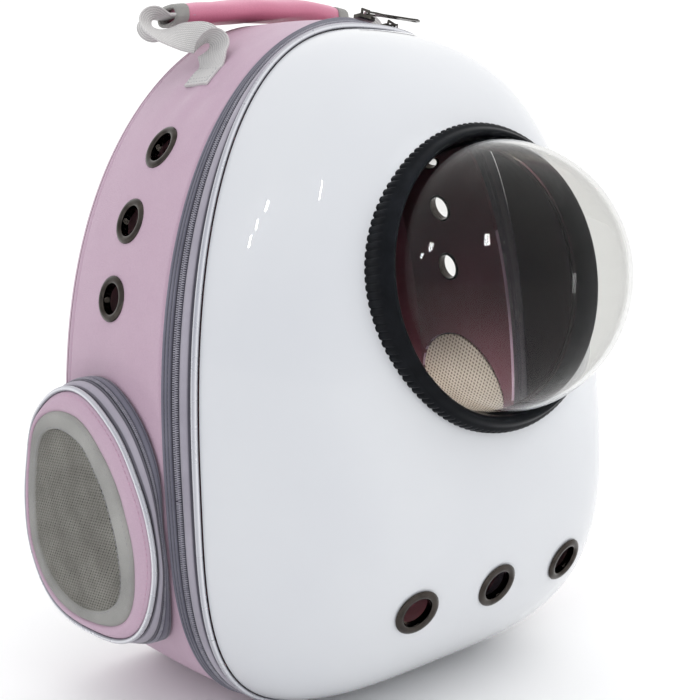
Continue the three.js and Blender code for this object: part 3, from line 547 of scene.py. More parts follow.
def m_leather(name, lo, hi, rough=(0.42, 0.56), grain=1.0, painted_shade_ramp=None, spots=None):
    k = Mat(name, IOR=1.45, Sheen_Weight=0.08, Sheen_Roughness=0.4)
    big = k.ramp(k.noise(7, 4, 0.6), (0.3, srgb(*lo)), (0.72, srgb(*hi)))
    # painted shade: when given, the colour follows the run's third value, a height across the section, darker below and
    # lighter on top as light falls
    if painted_shade_ramp:
        t = k.sep(k.coord(attr="run"))[2]
        big = k.mix(0.75, big, k.ramp(t, *[(p, srgb(*c)) for p, c in painted_shade_ramp]))
    fine = k.ramp(k.noise(900, 3), (0.3, (0.93, 0.93, 0.93, 1)), (0.7, (1, 1, 1, 1)))
    k.link(k.mix(1.0, big, fine, "MULTIPLY"), "Base Color")
    k.link(k.rng(k.noise(60, 5), 0.3, 0.7, *rough), "Roughness")
    v = k.n("TexVoronoi", {"feature": "DISTANCE_TO_EDGE"}, Vector=k.coord(), Scale=780.0, Randomness=1.0).outputs["Distance"]
    k.bump(k.rng(v, 0, 0.25, 0, 1), 0.00012 * grain, 0.55)
    k.bump(k.noise(34, 5, 0.6, dist=0.3), 0.0006, 0.35)
    return k.m


def m_lining():
    k = Mat("inner_lining", IOR=1.45, Sheen_Weight=0.15, Sheen_Roughness=0.5)
    k.link(k.ramp(k.noise(14, 4), (0.3, srgb(102, 62, 72)), (0.7, srgb(118, 74, 84))), "Base Color")
    k.link(k.rng(k.noise(80, 4), 0.3, 0.7, 0.5, 0.7), "Roughness")
    w = k.n("TexWave", {"wave_type": "BANDS", "bands_direction": "Z"}, Vector=k.coord(), Scale=420.0, Distortion=0.6).outputs["Fac"]
    k.bump(w, 0.00008, 0.5)
    return k.m


def weave(k, per_m, attr="run", depth=0.00018, strength=0.8, swap=False):
    """A plain weave in the piece's own running coordinates: returns the height."""
    x, y, _ = k.sep(k.coord(attr=attr))
    f = per_m * math.pi
    a = k.math("SINE", k.math("MULTIPLY", x, f))
    b = k.math("SINE", k.math("MULTIPLY", y, f))
    h = k.math("MULTIPLY", a, b)
    h = k.math("ABSOLUTE", h)
    k.bump(h, depth, strength)
    return h


def m_tape(name, lo, hi, per_m=1500, sheen=0.35, edge=None):
    k = Mat(name, IOR=1.4, Sheen_Weight=sheen, Sheen_Roughness=0.35)
    c = k.ramp(k.noise(26, 4), (0.3, srgb(*lo)), (0.7, srgb(*hi)))
    h = weave(k, per_m, depth=0.00012)
    c = k.mix(0.5, c, k.mix(1.0, c, k.ramp(h, (0.0, (0.74, 0.74, 0.76, 1)), (1.0, (1.08, 1.08, 1.08, 1))), "MULTIPLY"))
    # painted shade: where the run's third value is high, the colour goes to the edge colour, darkening the tape in its
    # sewn grooves and along the edges that tuck under the neighbouring parts
    if edge:
        c = k.mix(k.sep(k.coord(attr="run"))[2], c, srgb(*edge))
    k.link(c, "Base Color")
    k.link(k.rng(k.noise(300, 3), 0.3, 0.7, 0.62, 0.82), "Roughness")
    return k.m


def m_coil():
    k = Mat("coil_nylon", IOR=1.5)
    k.link(k.ramp(k.noise(400, 3), (0.3, srgb(128, 126, 138)), (0.7, srgb(158, 156, 166))), "Base Color")
    k.link(k.rng(k.noise(500, 3), 0.3, 0.7, 0.28, 0.45), "Roughness")
    k.bump(k.noise(2500, 2), 0.00004, 0.4)
    return k.m


def m_webbing(name="webbing_weave", lo=(194, 192, 191), hi=(214, 212, 210), per_m=620):
    k = Mat(name, IOR=1.4, Sheen_Weight=0.3, Sheen_Roughness=0.4)
    x, y, _ = k.sep(k.coord(attr="run"))
    f = per_m * math.pi
    rib = k.math("ABSOLUTE", k.math("SINE", k.math("MULTIPLY", y, f)))
    tw = k.math("ABSOLUTE", k.math("SINE", k.math("ADD", k.math("MULTIPLY", x, f * 1.2), k.math("MULTIPLY", y, f))))
    h = k.math("MULTIPLY", rib, k.math("ADD", k.math("MULTIPLY", tw, 0.5), 0.5))
    c = k.ramp(k.noise(30, 4), (0.3, srgb(*lo)), (0.7, srgb(*hi)))
    k.link(k.mix(1.0, c, k.ramp(h, (0.0, (0.66, 0.66, 0.67, 1)), (0.8, (1, 1, 1, 1))), "MULTIPLY"), "Base Color")
    k.link(k.rng(k.noise(260, 3), 0.3, 0.7, 0.7, 0.88), "Roughness")
    k.bump(h, 0.0003, 0.9)
    return k.m


def m_knit(name, lo, hi, scale=1.0, hole=(60, 58, 54)):
    """Knitted mesh drawn on a solid sheet: staggered dark holes between rounded threads."""
    k = Mat(name, IOR=1.4, Sheen_Weight=0.25, Sheen_Roughness=0.5)
    x, y, _ = k.sep(k.coord(attr="run"))
    f = 420 * scale * math.pi
    a = k.math("SINE", k.math("MULTIPLY", k.math("ADD", x, k.math("MULTIPLY", y, 0.5)), f))
    b = k.math("SINE", k.math("MULTIPLY", k.math("SUBTRACT", k.math("MULTIPLY", y, 1.0), k.math("MULTIPLY", x, 0.5)), f))
    h = k.math("ABSOLUTE", k.math("MULTIPLY", a, b))
    c = k.ramp(k.noise(40, 4), (0.3, srgb(*lo)), (0.7, srgb(*hi)))
    k.link(k.mix(k.rng(h, 0.45, 0.8, 0, 0.85), c, srgb(*hole)), "Base Color")
    k.link(k.rng(k.noise(300, 3), 0.3, 0.7, 0.72, 0.9), "Roughness")
    k.bump(k.math("SUBTRACT", 1.0, h), 0.0005, 0.9)
    return k.m


def m_net():
    k = Mat("window_net", IOR=1.45, Sheen_Weight=0.2, Sheen_Roughness=0.4)
    c = k.ramp(k.noise(60, 4), (0.3, srgb(132, 130, 123)), (0.7, srgb(158, 156, 148)))
    k.link(k.mix(1.0, c, k.ramp(k.noise(1700, 3), (0.3, (0.8, 0.8, 0.8, 1)), (0.7, (1, 1, 1, 1))), "MULTIPLY"), "Base Color")
    k.link(k.rng(k.noise(600, 3), 0.3, 0.7, 0.5, 0.72), "Roughness")
    k.bump(k.noise(3200, 3), 0.00006, 0.6)
    return k.m


def m_airmesh(name="pad_airmesh", lo=(122, 120, 128), hi=(146, 144, 152), hole=(66, 65, 71)):
    k = Mat(name, IOR=1.4, Sheen_Weight=0.3, Sheen_Roughness=0.5)
    v = k.n("TexVoronoi", {"feature": "F1"}, Vector=k.coord(), Scale=330.0, Randomness=0.12).outputs["Distance"]
    c = k.ramp(k.noise(20, 4), (0.3, srgb(*lo)), (0.7, srgb(*hi)))
    k.link(k.mix(k.rng(v, 0.18, 0.34, 0.85, 0.0), c, srgb(*hole)), "Base Color")
    k.link(k.rng(k.noise(200, 3), 0.3, 0.7, 0.75, 0.92), "Roughness")
    k.bump(k.rng(v, 0.1, 0.4, 0, 1), 0.0006, 0.9)
    return k.m


def m_thread(name, c):
    k = Mat(name, IOR=1.45, Sheen_Weight=0.3, Sheen_Roughness=0.4)
    k.link(k.ramp(k.noise(500, 3), (0.3, srgb(*[int(x * 0.86) for x in c])), (0.7, srgb(*c))), "Base Color")
    k.link(k.rng(k.noise(900, 3), 0.3, 0.7, 0.45, 0.65), "Roughness")
    k.bump(k.noise(4000, 2), 0.00005, 0.6)
    return k.m


def m_plastic():
    k = Mat("buckle_plastic", IOR=1.5)
    k.link(k.ramp(k.noise(90, 4), (0.3, srgb(30, 30, 32)), (0.7, srgb(42, 42, 45))), "Base Color")
    k.link(k.rng(k.noise(300, 4), 0.3, 0.7, 0.32, 0.48), "Roughness")
    k.bump(k.noise(1800, 3), 0.00006, 0.6)
    return k.m


SHELL_M, INSIDE_M, ACRYLIC_M, RUBBER_M = m_shell(), m_dark_inside(), m_acrylic(), m_rubber()
NICKEL_M = m_nickel()
ZIP_M = m_nickel("zip_gunmetal", (52, 50, 48), (88, 85, 80), (0.16, 0.3))
PIPING_PAINTED_LIGHT_M = m_piping_painted_light()
PINK_M = m_leather("pink_leather", (186, 158, 176), (194, 167, 184))
# painted shade on the grip: dark pink underneath, light pink on top
GRIP_M = m_leather("grip_leather", (206, 126, 150), (214, 140, 164), painted_shade_ramp=((0.0, (172, 80, 108)), (0.45, (208, 124, 150)), (1.0, (222, 166, 186))))
LINING_M = m_lining()
# the edge colours are painted shade for the tapes' grooves and tucked edges
TAPE_M = m_tape("tape_light", (156, 151, 162), (172, 167, 178), edge=(70, 68, 78))
TAPE_DARK_M = m_tape("tape_dark", (104, 103, 116), (120, 119, 132), edge=(58, 57, 68))
COIL_M = m_coil()
WEB_M = m_webbing()
BINDING_M = m_webbing("binding_weave", (160, 159, 155), (184, 183, 178), 1500)
NET_M = m_net()
INNER_M = m_knit("inner_knit", (222, 208, 190), (236, 224, 208), 0.62, hole=(104, 88, 78))
# painted shade: the dark knit for the sheet behind the pocket net
NET_SHADE_SHEET_M = m_knit("net_shade_sheet", (86, 85, 80), (100, 99, 94), 1.0, hole=(36, 36, 33))
PAD_M = m_airmesh()
STRAP_EDGE_M = m_tape("strap_edge", (96, 94, 103), (112, 110, 120), 1400)
COIL_BASE_M = m_tape("coil_base_tape", (58, 57, 66), (72, 71, 82), 1400)
PLASTIC_M = m_plastic()
THREAD_GREY_M, THREAD_PINK_M, THREAD_DARK_M = m_thread("thread_grey", (168, 167, 172)), m_thread("thread_pink", (204, 160, 184)), m_thread("thread_dark", (84, 82, 92))

# ------------------------------------------------------------------ front shell
def build_shell():
    N, M = 240, 60
    deg, _ = even(N, 0.0)
    r = np.linspace(0, 1, 4001)
    u = np.clip(1 - r ** SHELL["p"], 0, 1) ** (1 / SHELL["q"])
    s = np.concatenate([[0], np.cumsum(np.hypot(np.diff(r) * 150, np.diff(u) * SHELL["depth"]))])
    rr = np.interp(np.linspace(s[-1], s[-1] * 0.02, M), s, r)
    D, RR = np.meshgrid(deg, rr, indexing="ij")
    P = shell_point(D, RR)
    du = np.roll(P, -1, 0) - np.roll(P, 1, 0)
    dv = np.gradient(P, axis=1)
    nrm = unit(np.cross(du, dv))
    nrm *= np.sign((nrm * (P - np.array([0, 40, 200]))).sum(-1, keepdims=True))
    nrm[:, 0, 1] = 0
    nrm[:, 0] = unit(nrm[:, 0])
    inner = P - nrm * SHELL["wall"]
    lip = (P[:, :1] + inner[:, :1]) / 2 + np.array([0, 0.7, 0])
    ring = np.concatenate([P[:, ::-1], lip, inner], 1)     # hub outside, rim, hub inside
    v, f = grid(ring, True, False)
    w = ring.shape[1]
    f.append([i * w for i in range(N)])
    f.append([i * w + w - 1 for i in range(N)])
    o = make("shell_front", (v, f), [SHELL_M, INSIDE_M], ["front_shell"], angle=180)
    cut(o, [rod(RING_P, RING_N, RING["hole"], -60, 60, 128)] + [rod(*shell_seat(x, FRONT_EYE_Z), EYE["cut"], -30, 30, 64) for x in FRONT_EYES])
    me = o.data
    c = np.zeros(len(me.polygons) * 3, np.float32)
    me.polygons.foreach_get("center", c)
    c = c.reshape(-1, 3) * 1000
    c[:, 1] -= SHIFT_Y
    depth = c[:, 1] - shell_y(c[:, 0], c[:, 2])
    n = np.zeros(len(me.polygons) * 3, np.float32)
    me.polygons.foreach_get("normal", n)
    n = n.reshape(-1, 3)
    facing = (n * (c - np.array([0, 40, 200]))).sum(1) < 0
    me.materials.clear()
    me.materials.append(SHELL_M)
    me.materials.append(INSIDE_M)
    me.polygons.foreach_set("material_index", (facing | ((depth > 1.2) & (c[:, 1] < -30))).astype(np.int32))
    me.shade_smooth()
    me.set_sharp_from_angle(angle=rad(35))
    return o


def build_ring():
    R = DOME["radius"]
    prof = [(R + 0.5, -6.0), (R + 0.5, -3.4), (R + 0.35, 1.0), (R + 0.1, 4.4), (R + 0.9, 7.6), (R + 2.2, 9.4), (R + 3.6, 10.0), (R + 4.8, 9.0),
            (R + 5.8, 7.2), (R + 6.6, 6.0), (R + 7.6, 5.4), (R + 8.7, 4.6), (R + 9.5, 3.0), (R + 9.7, 0.6), (R + 9.6, -2.0), (R + 9.5, -5.0),
            (R + 9.5, -8.0), (R + 6.0, -8.0), (R + 5.0, -6.0)]
    # rounded through its points, with the foot brought down onto the shell all the way round
    pr = smooth_closed(prof, 40)
    div = 1440
    t = np.arange(div) * 2 * math.pi / div
    a = unit(np.cross([0, 0, 1.0], RING_N))
    b = np.cross(RING_N, a)
    d = np.cos(t)[:, None] * a + np.sin(t)[:, None] * b
    foot = np.full(div, -3.0)
    for _ in range(8):
        q = RING_P + (R + 9.5) * d + foot[:, None] * RING_N
        foot += (q[:, 1] - shell_y(q[:, 0], q[:, 2])) * 0.95
    foot -= 0.6
    teeth = 124

    def wave(T, Rr, H):
        side = np.clip((Rr - (R + 6.8)) / 2.2, 0, 1) * np.clip((5.2 - H) / 1.6, 0, 1)
        bite = 0.5 + 0.5 * np.cos(T * teeth)
        bite = bite ** 3
        low = np.clip((-H - 1.0) / 7.0, 0, 1) * np.clip((Rr - (R + 4.0)) / 3.0, 0, 1)
        H2 = H + low * (foot[:, None] + 8.0)
        return Rr - side * bite * 0.85, H2
    return make("ring_rubber", turned(pr, RING_P, RING_N, div, wave), RUBBER_M, ["bubble_ring"], angle=180)


def build_dome():
    R, w, h0 = DOME["radius"], DOME["wall"], DOME["rise"]
    a = np.radians(np.linspace(0, 90, 40))
    outer = [(R * math.cos(x), h0 + R * math.sin(x)) for x in a]
    inner = [((R - w) * math.cos(x), h0 + (R - w) * math.sin(x)) for x in a[::-1]]
    outer[-1] = (0.02, h0 + R)
    inner[0] = (0.02, h0 + R - w)
    base = h0 - 6.5
    prof = outer + inner + [(R - w, base + 3), (R - w + 0.1, base + 0.6), (R - w + 0.7, base), (DOME["flange"] - 0.5, base),
                            (DOME["flange"], base + 0.5), (DOME["flange"], base + 1.5), (DOME["flange"] - 0.5, base + 2.0), (R + 0.8, base + 2.0), (R + 0.1, base + 2.6)]
    v, f = turned(prof, RING_P, RING_N, 160)
    o = make("dome_clear", (v, f), ACRYLIC_M, ["bubble_dome"], angle=50)
    bm = bmesh.new()
    bm.from_mesh(o.data)
    bmesh.ops.remove_doubles(bm, verts=bm.verts, dist=0.00004)
    bm.to_mesh(o.data)
    bm.free()
    o.data.set_sharp_from_angle(angle=rad(50))
    return o


# ------------------------------------------------------------------ eyelets
def eyelet(p, n, wall):
    h, fl, nk, pr = EYE["hole"], EYE["flange"], EYE["neck"], EYE["proud"]
    prof = [(h + 0.15, -wall - 1.2), (h, -wall), (h, 0.2), (h + 0.25, 1.0), (h + 0.8, 1.55), (h + 1.5, pr + 0.02), (h + 2.4, pr + 0.1), (h + 3.4, pr - 0.02),
            (fl - 1.0, 1.35), (fl - 0.35, 0.95), (fl, 0.45), (fl - 0.05, 0.12), (fl - 0.5, 0.02), (nk + 0.6, 0.05), (nk, -0.2), (nk, -wall - 1.0), (nk - 0.4, -wall - 1.4), (h + 0.6, -wall - 1.4)]
    return turned(prof, p, n, 72)


def eyelets():
    for w, x in zip(("left", "middle", "right"), FRONT_EYES):
        p, n = shell_seat(x, FRONT_EYE_Z)
        make("eyelet_front_" + w, eyelet(p, n, 2.6), NICKEL_M, ["front_eyelet_" + w], angle=50)
    for w, y, z in SIDE_EYES:
        p, n = side_seat(y, z)
        e = eyelet(p, n, BAND_WALL)
        make("eyelet_left_" + w, e, NICKEL_M, ["side_eyelet_left_" + w], angle=50)
        make("eyelet_right_" + w, mirror(e), NICKEL_M, ["side_eyelet_right_" + w], angle=50)


def side_seat(y, z):
    f = lambda yy, zz: np.array([-float(wall_at(yy, zz)), yy, zz])
    n = unit(np.cross(f(y + 2, z) - f(y - 2, z), f(y, z + 2) - f(y, z - 2)))
    return f(y, z), n if n[0] < 0 else -n


# ------------------------------------------------------------------ zip round the rim
def ring_of(deg, prof):
    """Sections of (y, out) points at each angle, as n x m x 3."""
    pr = np.asarray(prof, float)
    D = np.repeat(np.asarray(deg)[:, None], len(pr), 1)
    return on_strip(D, np.repeat(pr[None, :, 0], len(deg), 0), np.repeat(pr[None, :, 1], len(deg), 0))


def run_of(dist, prof, painted_light_mark=None):
    """The running coordinates in metres: along, across, and for each point of the section a value that the materials
    draw as painted shade in grooves and at tucked edges, or as painted highlight on the piping.
    """
    pr = np.asarray(prof, float)
    across = np.concatenate([[0], np.cumsum(np.linalg.norm(np.diff(pr, axis=0), axis=1))])
    n, m = len(dist), len(pr)
    r = np.zeros((n, m, 3))
    r[..., 0] = np.asarray(dist)[:, None] / 1000
    r[..., 1] = across[None] / 1000
    r[..., 2] = np.asarray(painted_light_mark if painted_light_mark is not None else np.zeros(m))[None]
    return r.reshape(-1, 3)


def build_zip():
    full, dist = even(420, 2.0)
    a = np.arange(14) * 2 * math.pi / 14
    prof = np.stack([1.95 + 1.7 * np.sin(a), 1.35 + 1.7 * np.cos(a)], 1)
    # painted highlight and painted shade round the piping: 1 on the crest, 0 on the flanks
    painted_light_fac = 0.5 + 0.5 * np.cos(a + 0.35)
    make("piping_rim", tube(ring_of(full, prof), True), PIPING_PAINTED_LIGHT_M, ["shell_piping"], angle=180, run=run_of(dist, prof, painted_light_fac))
    arc, d = even(400, 12.0, ZIP_START, 180 - ZIP_START, False)
    front = [(3.6, -0.9), (3.6, 0.1), (4.3, 0.45), (5.3, 0.55), (6.1, 0.6), (6.6, 0.7), (6.9, 1.05), (7.4, 1.3), (8.8, 1.45), (10.4, 1.35), (11.6, 1.05), (12.3, 0.75), (12.7, 0.35), (12.7, -0.7)]
    # painted shade: dark along the gap beside the piping and towards the edge by the coil
    painted_light_mark = [1.0, 1.0, 1.0, 1.0, 1.0, 0.95, 0.25, 0.0, 0.0, 0.0, 0.1, 0.5, 0.9, 0.9]
    make("tape_front", tube(ring_of(arc, front)), TAPE_M, ["zip_tape_front"], run=run_of(d, front, painted_light_mark), angle=60)
    rear = [(17.9, -0.7), (17.9, 0.35), (18.2, 0.75), (18.7, 0.95), (19.3, 1.05), (19.7, 0.8), (20.0, 0.6), (20.3, 0.85), (20.9, 1.1), (21.6, 1.05), (22.0, 0.78), (22.25, 0.62), (22.5, 0.8), (23.0, 1.15), (23.7, 1.2), (24.3, 0.9), (24.5, 0.3), (24.3, -0.7)]
    # painted shade: dark in the two sewn grooves and along both tucked edges
    painted_light_mark = [0.9, 0.9, 0.6, 0.2, 0.1, 0.6, 0.85, 0.5, 0.05, 0.1, 0.6, 0.85, 0.6, 0.0, 0.0, 0.2, 0.7, 0.9]
    make("tape_rear", tube(ring_of(arc, rear)), TAPE_DARK_M, ["zip_tape_rear"], run=run_of(d, rear, painted_light_mark), angle=60)
    base = [(13.0, -0.6), (13.0, 0.25), (15.3, 0.35), (17.6, 0.25), (17.6, -0.6)]
    make("coil_base", tube(ring_of(arc, base)), COIL_BASE_M, run=run_of(d, base), angle=60)
    L = d[-1]
    pitch = 1.35
    n = int(L / pitch) - 2
    rows = []
    for k, (y0, y1) in enumerate(((13.35, 15.75), (14.85, 17.25))):
        t = (np.arange(n) + 0.5 + 0.5 * k) * pitch
        g = np.interp(t, d, arc)
        A, B = on_strip(g, np.full(n, y0), np.full(n, 0.75)), on_strip(g, np.full(n, y1), np.full(n, 0.75))
        rows.append(bars(A, B, outward(g, np.full(n, 15.3)), 0.95, 1.15, 0.3))
    make("coil_teeth", joined(*rows), COIL_M, ["zip_coil"], angle=60)
    # rows of stitches in the sewn grooves
    for name, y, out in (("stitch_tape_rear_a", 20.0, 0.68), ("stitch_tape_rear_b", 22.25, 0.7)):
        p, nn = on_strip(arc, np.full(len(arc), y), np.full(len(arc), out)), outward(arc, np.full(len(arc), y))
        make(name, bars(*along(p, nn, 3.4, 2.5), 0.5, 0.42), THREAD_DARK_M, angle=60)
    # cloth hinge under the base
    low, dl = even(90, 12.0, -180 - ZIP_START + 1.2, ZIP_START - 1.2, False)
    prof = [(4.6, -1.1), (4.6, 0.4), (5.2, 0.9), (6.2, 0.8), (6.6, 0.65), (7.0, 0.8), (14.0, 0.95), (21.4, 0.8), (21.8, 0.65), (22.2, 0.8), (23.2, 0.9), (23.9, 0.5), (23.9, -1.1)]
    make("hinge_cloth", tube(ring_of(low, prof)), PINK_M, ["hinge_strip"], angle=50)


# ------------------------------------------------------------------ pink band
def podr(deg, key):
    t = np.asarray(POD[key])
    n = len(t)
    f = np.mod(np.asarray(deg, float), 360) / (360 / n)
    i = np.floor(f).astype(int)
    w = f - i
    a, b, c, d = t[(i - 1) % n], t[i % n], t[(i + 1) % n], t[(i + 2) % n]
    return 0.5 * (2 * b + (c - a) * w + (2 * a - 5 * b + 4 * c - d) * w ** 2 + (3 * b - a - 3 * c + d) * w ** 3)


def podyz(deg, r):
    return POD_Y - r * np.sin(np.radians(deg)), POD_Z + r * np.cos(np.radians(deg))


def face_point(deg, inset, lift=0.0):
    y, z = podyz(deg, podr(deg, "face") - inset)
    return np.stack([-(PLANE_X + PLANE_SLOPE * (y - PLANE_Y)) - lift, y, z], -1)


def foot_point(deg, inset, lift=0.0):
    y, z = podyz(deg, podr(deg, "foot") - inset)
    return np.stack([-wall_at(y, z) - lift, y, z], -1)


def soft(deg, y, p):
    """How far the soft band stands off its plain outline: slack between seams, and pulls at what is sewn on."""
    x, z = np.abs(p[..., 0]), p[..., 2]
    t = np.clip((y - BAND_Y[0]) / (BAND_Y[1] - BAND_Y[0]), 0, 1)
    edge = np.sin(math.pi * t)
    a = np.radians(deg)
    o = 0.9 * edge * (0.6 + 0.4 * np.sin(3.1 * a + 1.3))
    o = o + 0.35 * edge * np.sin(z / 23 + 4 * t) * np.sin(z / 61 + 1.0)
    # pulls below the handle's anchors
    dy, dz = y - WEB["anchor_y"], z - 386
    pull = np.exp(-(dz / 34) ** 2) * np.exp(-(dy / 42) ** 2) * (x > 20)
    o = o + 0.9 * pull * np.sin((dy + 0.25 * dz) / 5.2) * np.exp(-np.abs(dz + 10) / 30)
    o = o - 1.1 * np.exp(-((z - 383.5 - 0.07 * dy) / 2.6) ** 2) * np.exp(-(dy / 48) ** 4) * (x > 20) * 0.7
    # a dip round each pocket's foot
    r = np.hypot(y - POD_Y, z - POD_Z)
    c = np.degrees(np.arctan2(-(y - POD_Y), z - POD_Z))
    o = o - 0.8 * np.exp(-((r - podr(c, "foot") - 5) / 7) ** 2) * (x > 90)
    # seams along both edges
    o = o - 0.9 * np.exp(-((y - BAND_Y[0] - 3.2) / 0.9) ** 2) - 0.9 * np.exp(-((BAND_Y[1] - 3.4 - y) / 1.0) ** 2)
    return np.where(z > 12, o, np.minimum(o, 0) * 0.3)


def build_band():
    N, M = 420, 72
    deg, _ = even(N, 84.0)
    t = np.linspace(0, 1, M)
    y = BAND_Y[0] + (BAND_Y[1] - BAND_Y[0]) * (t - 0.055 * np.sin(4 * math.pi * t) * 0.5)
    D, Y = np.meshgrid(deg, y, indexing="ij")
    base = on_body(D, Y)
    nrm = outward(D, Y)
    off = soft(D, Y, base)
    outer = base + nrm * off[..., None]
    outer[..., 2] = np.maximum(outer[..., 2], 0)
    inner = base - nrm * BAND_WALL
    inner[..., 2] = np.maximum(inner[..., 2], BAND_WALL)
    for arr in (outer, inner):      # soft turned edges
        arr[:, 0, 1] += 0.3
        arr[:, -1, 1] -= 0.3
    ring = np.concatenate([outer, inner[:, ::-1]], 1)
    o = make("band_soft", grid(ring, True, True), [PINK_M, LINING_M], ["body_band"], angle=180)
    c = np.arange(0, 360, 3.0)
    opening = np.stack([foot_point(c, POD_OPENING, 30), foot_point(c, POD_OPENING, -30)])
    holes = [rod(*side_seat(y_, z_), EYE["cut"], -30, 30, 64) for _, y_, z_ in SIDE_EYES]
    tools = [tube(opening), mirror(tube(opening))] + holes + [mirror(h) for h in holes]
    cut(o, tools)
    me = o.data
    n = len(me.polygons)
    cc, nn = np.zeros(n * 3, np.float32), np.zeros(n * 3, np.float32)
    me.polygons.foreach_get("center", cc)
    me.polygons.foreach_get("normal", nn)
    cc, nn = cc.reshape(-1, 3) * 1000, nn.reshape(-1, 3)
    mid = np.stack([0 * cc[:, 0], cc[:, 1], np.clip(cc[:, 2], 120, 250)], 1)
    me.materials.clear()
    me.materials.append(PINK_M)
    me.materials.append(LINING_M)
    me.polygons.foreach_set("material_index", ((nn * (cc - mid)).sum(1) < 0).astype(np.int32))
    me.shade_smooth()
    me.set_sharp_from_angle(angle=rad(50))
    d2, _ = even(400, 84.0, -60, 240, False)
    for name, y_ in (("stitch_band_front", BAND_Y[0] + 3.2), ("stitch_band_back", BAND_Y[1] - 3.4)):
        yy = np.full(len(d2), y_)
        p = on_body(d2, yy)
        nn = outward(d2, yy)
        p = p + nn * (soft(d2, yy, p) + 0.12)[:, None]
        make(name, bars(*along(p, nn, 4.0, 2.9), 0.5, 0.42), THREAD_PINK_M, angle=60)
    return o


# ------------------------------------------------------------------ back panel
def build_back():
    N = 240
    deg, _ = even(N, 144.0)
    rows = []
    y0 = on_body(deg, BACK_Y0)
    nrm = outward(deg, BACK_Y0)
    for i in range(9):
        a = rad(90 * i / 8)
        p = y0 - nrm * (BACK_ROUND * (1 - math.cos(a)))
        p[:, 1] += (BACK_Y1 - BACK_Y0) * math.sin(a)
        if i:
            p[:, 2] = np.maximum(p[:, 2], BACK_ROUND * (1 - math.cos(a)))
        rows.append(p)
    edge = rows[-1]
    mid = np.array([0, BACK_Y1 + SECT[2]["lean"] * 200, 200.0])
    back_y = lambda z: BACK_Y1 + SECT[2]["lean"] * z
    for k in (0.93, 0.8, 0.6, 0.35, 0.12):
        q = mid + (edge - mid) * k
        q[:, 1] = back_y(q[:, 2]) - 0.8
        rows.append(q)
    rows.append(np.repeat(mid[None] - [[0, 0.8, 0]], N, 0))
    rows.append(np.repeat(mid[None] - [[0, BACK_WALL, 0]], N, 0))
    for k in (0.25, 0.6, 0.95):
        q = np.array([0, 0, 200.0]) + (y0 * [1, 0, 1] - [0, 0, 200]) * k
        q[:, 1] = BACK_Y0 + SECT[2]["lean"] * q[:, 2]
        rows.append(q)
    P = np.stack(rows, 1)
    o = make("back_shell", grid(P, True, True), [PINK_M, LINING_M], ["back_panel"], angle=50,
             pick=lambda c, n: 1 if n[1] < -0.6 else 0)
    bm = bmesh.new()
    bm.from_mesh(o.data)
    bmesh.ops.remove_doubles(bm, verts=bm.verts, dist=0.00005)
    bm.to_mesh(o.data)
    bm.free()
    o.data.set_sharp_from_angle(angle=rad(50))
    # the padded field inside the edge: three sewn channels down
    rr = np.concatenate([np.linspace(0.0, 0.9, 46), np.linspace(0.92, 1.0, 8)])
    inset = 0.915
    E = mid + (edge - mid) * inset
    D, K = np.meshgrid(np.arange(N), rr, indexing="ij")
    Q = mid + (E[D] - mid) * K[..., None]
    x, z = Q[..., 0], Q[..., 2]
    rim = np.clip((1 - K) / 0.11, 0, 1)
    puff = np.sqrt(np.clip(1 - (1 - rim) ** 2, 0, 1))
    chan = np.ones_like(x)
    for cx in (-62.0, 0.0, 62.0):
        chan *= 1 - 0.62 * np.exp(-((x - cx * (1 - 0.0006 * (z - 200))) / 4.0) ** 2)
    h = 5.0 * puff * chan + 0.25 * np.sin(x / 9 + z / 31) * np.sin(z / 14) * puff
    front = Q.copy()
    front[..., 1] = back_y(z) - 0.6 + h
    rear = Q.copy()
    rear[..., 1] = back_y(z) - 1.2
    ring = np.concatenate([front, rear[:, ::-1]], 1)
    v, f = grid(ring, True, True)
    pad = make("back_pad", (v, f), PAD_M, angle=60)
    bm = bmesh.new()
    bm.from_mesh(pad.data)
    bmesh.ops.remove_doubles(bm, verts=bm.verts, dist=0.00005)
    bm.to_mesh(pad.data)
    bm.free()
    # a sewn cord round the field, and the stitches in its channels
    a = np.arange(10) * 2 * math.pi / 10
    e2 = mid + (edge - mid) * 0.93
    t = unit(np.roll(e2, -1, 0) - np.roll(e2, 1, 0))
    side = unit(np.cross(t, [0, 1.0, 0]))
    e2[:, 1] = back_y(e2[:, 2]) + 0.3
    make("piping_back", tube(e2[:, None, :] + 1.7 * (np.cos(a)[None, :, None] * side[:, None, :] + np.sin(a)[None, :, None] * np.array([0, 1.0, 0])), True), PIPING_PAINTED_LIGHT_M, angle=180)
    st = []
    for cx in (-62.0, 0.0, 62.0):
        zz = np.linspace(60 if cx else 45, 372 if cx else 418, 120)
        xx = cx * (1 - 0.0006 * (zz - 200))
        p = np.stack([xx, back_y(zz) - 0.6 + 5.0 * 0.38 + 0.15, zz], 1)
        st.append(bars(*along(p, np.repeat([[0, 1.0, 0]], 120, 0), 4.0, 2.8), 0.55, 0.45))
    make("stitch_back", joined(*st), THREAD_GREY_M, angle=60)


# ------------------------------------------------------------------ side pockets
def clock_even(n, key="face", a0=0.0, a1=360.0, closed=True):
    d = np.linspace(a0, a1, 4001)
    y, z = podyz(d, podr(d, key))
    s = np.concatenate([[0], np.cumsum(np.hypot(np.diff(y), np.diff(z)))])
    t = np.linspace(0, s[-1], n + 1)[:-1] if closed else np.linspace(0, s[-1], n)
    return np.interp(t, s, d), t


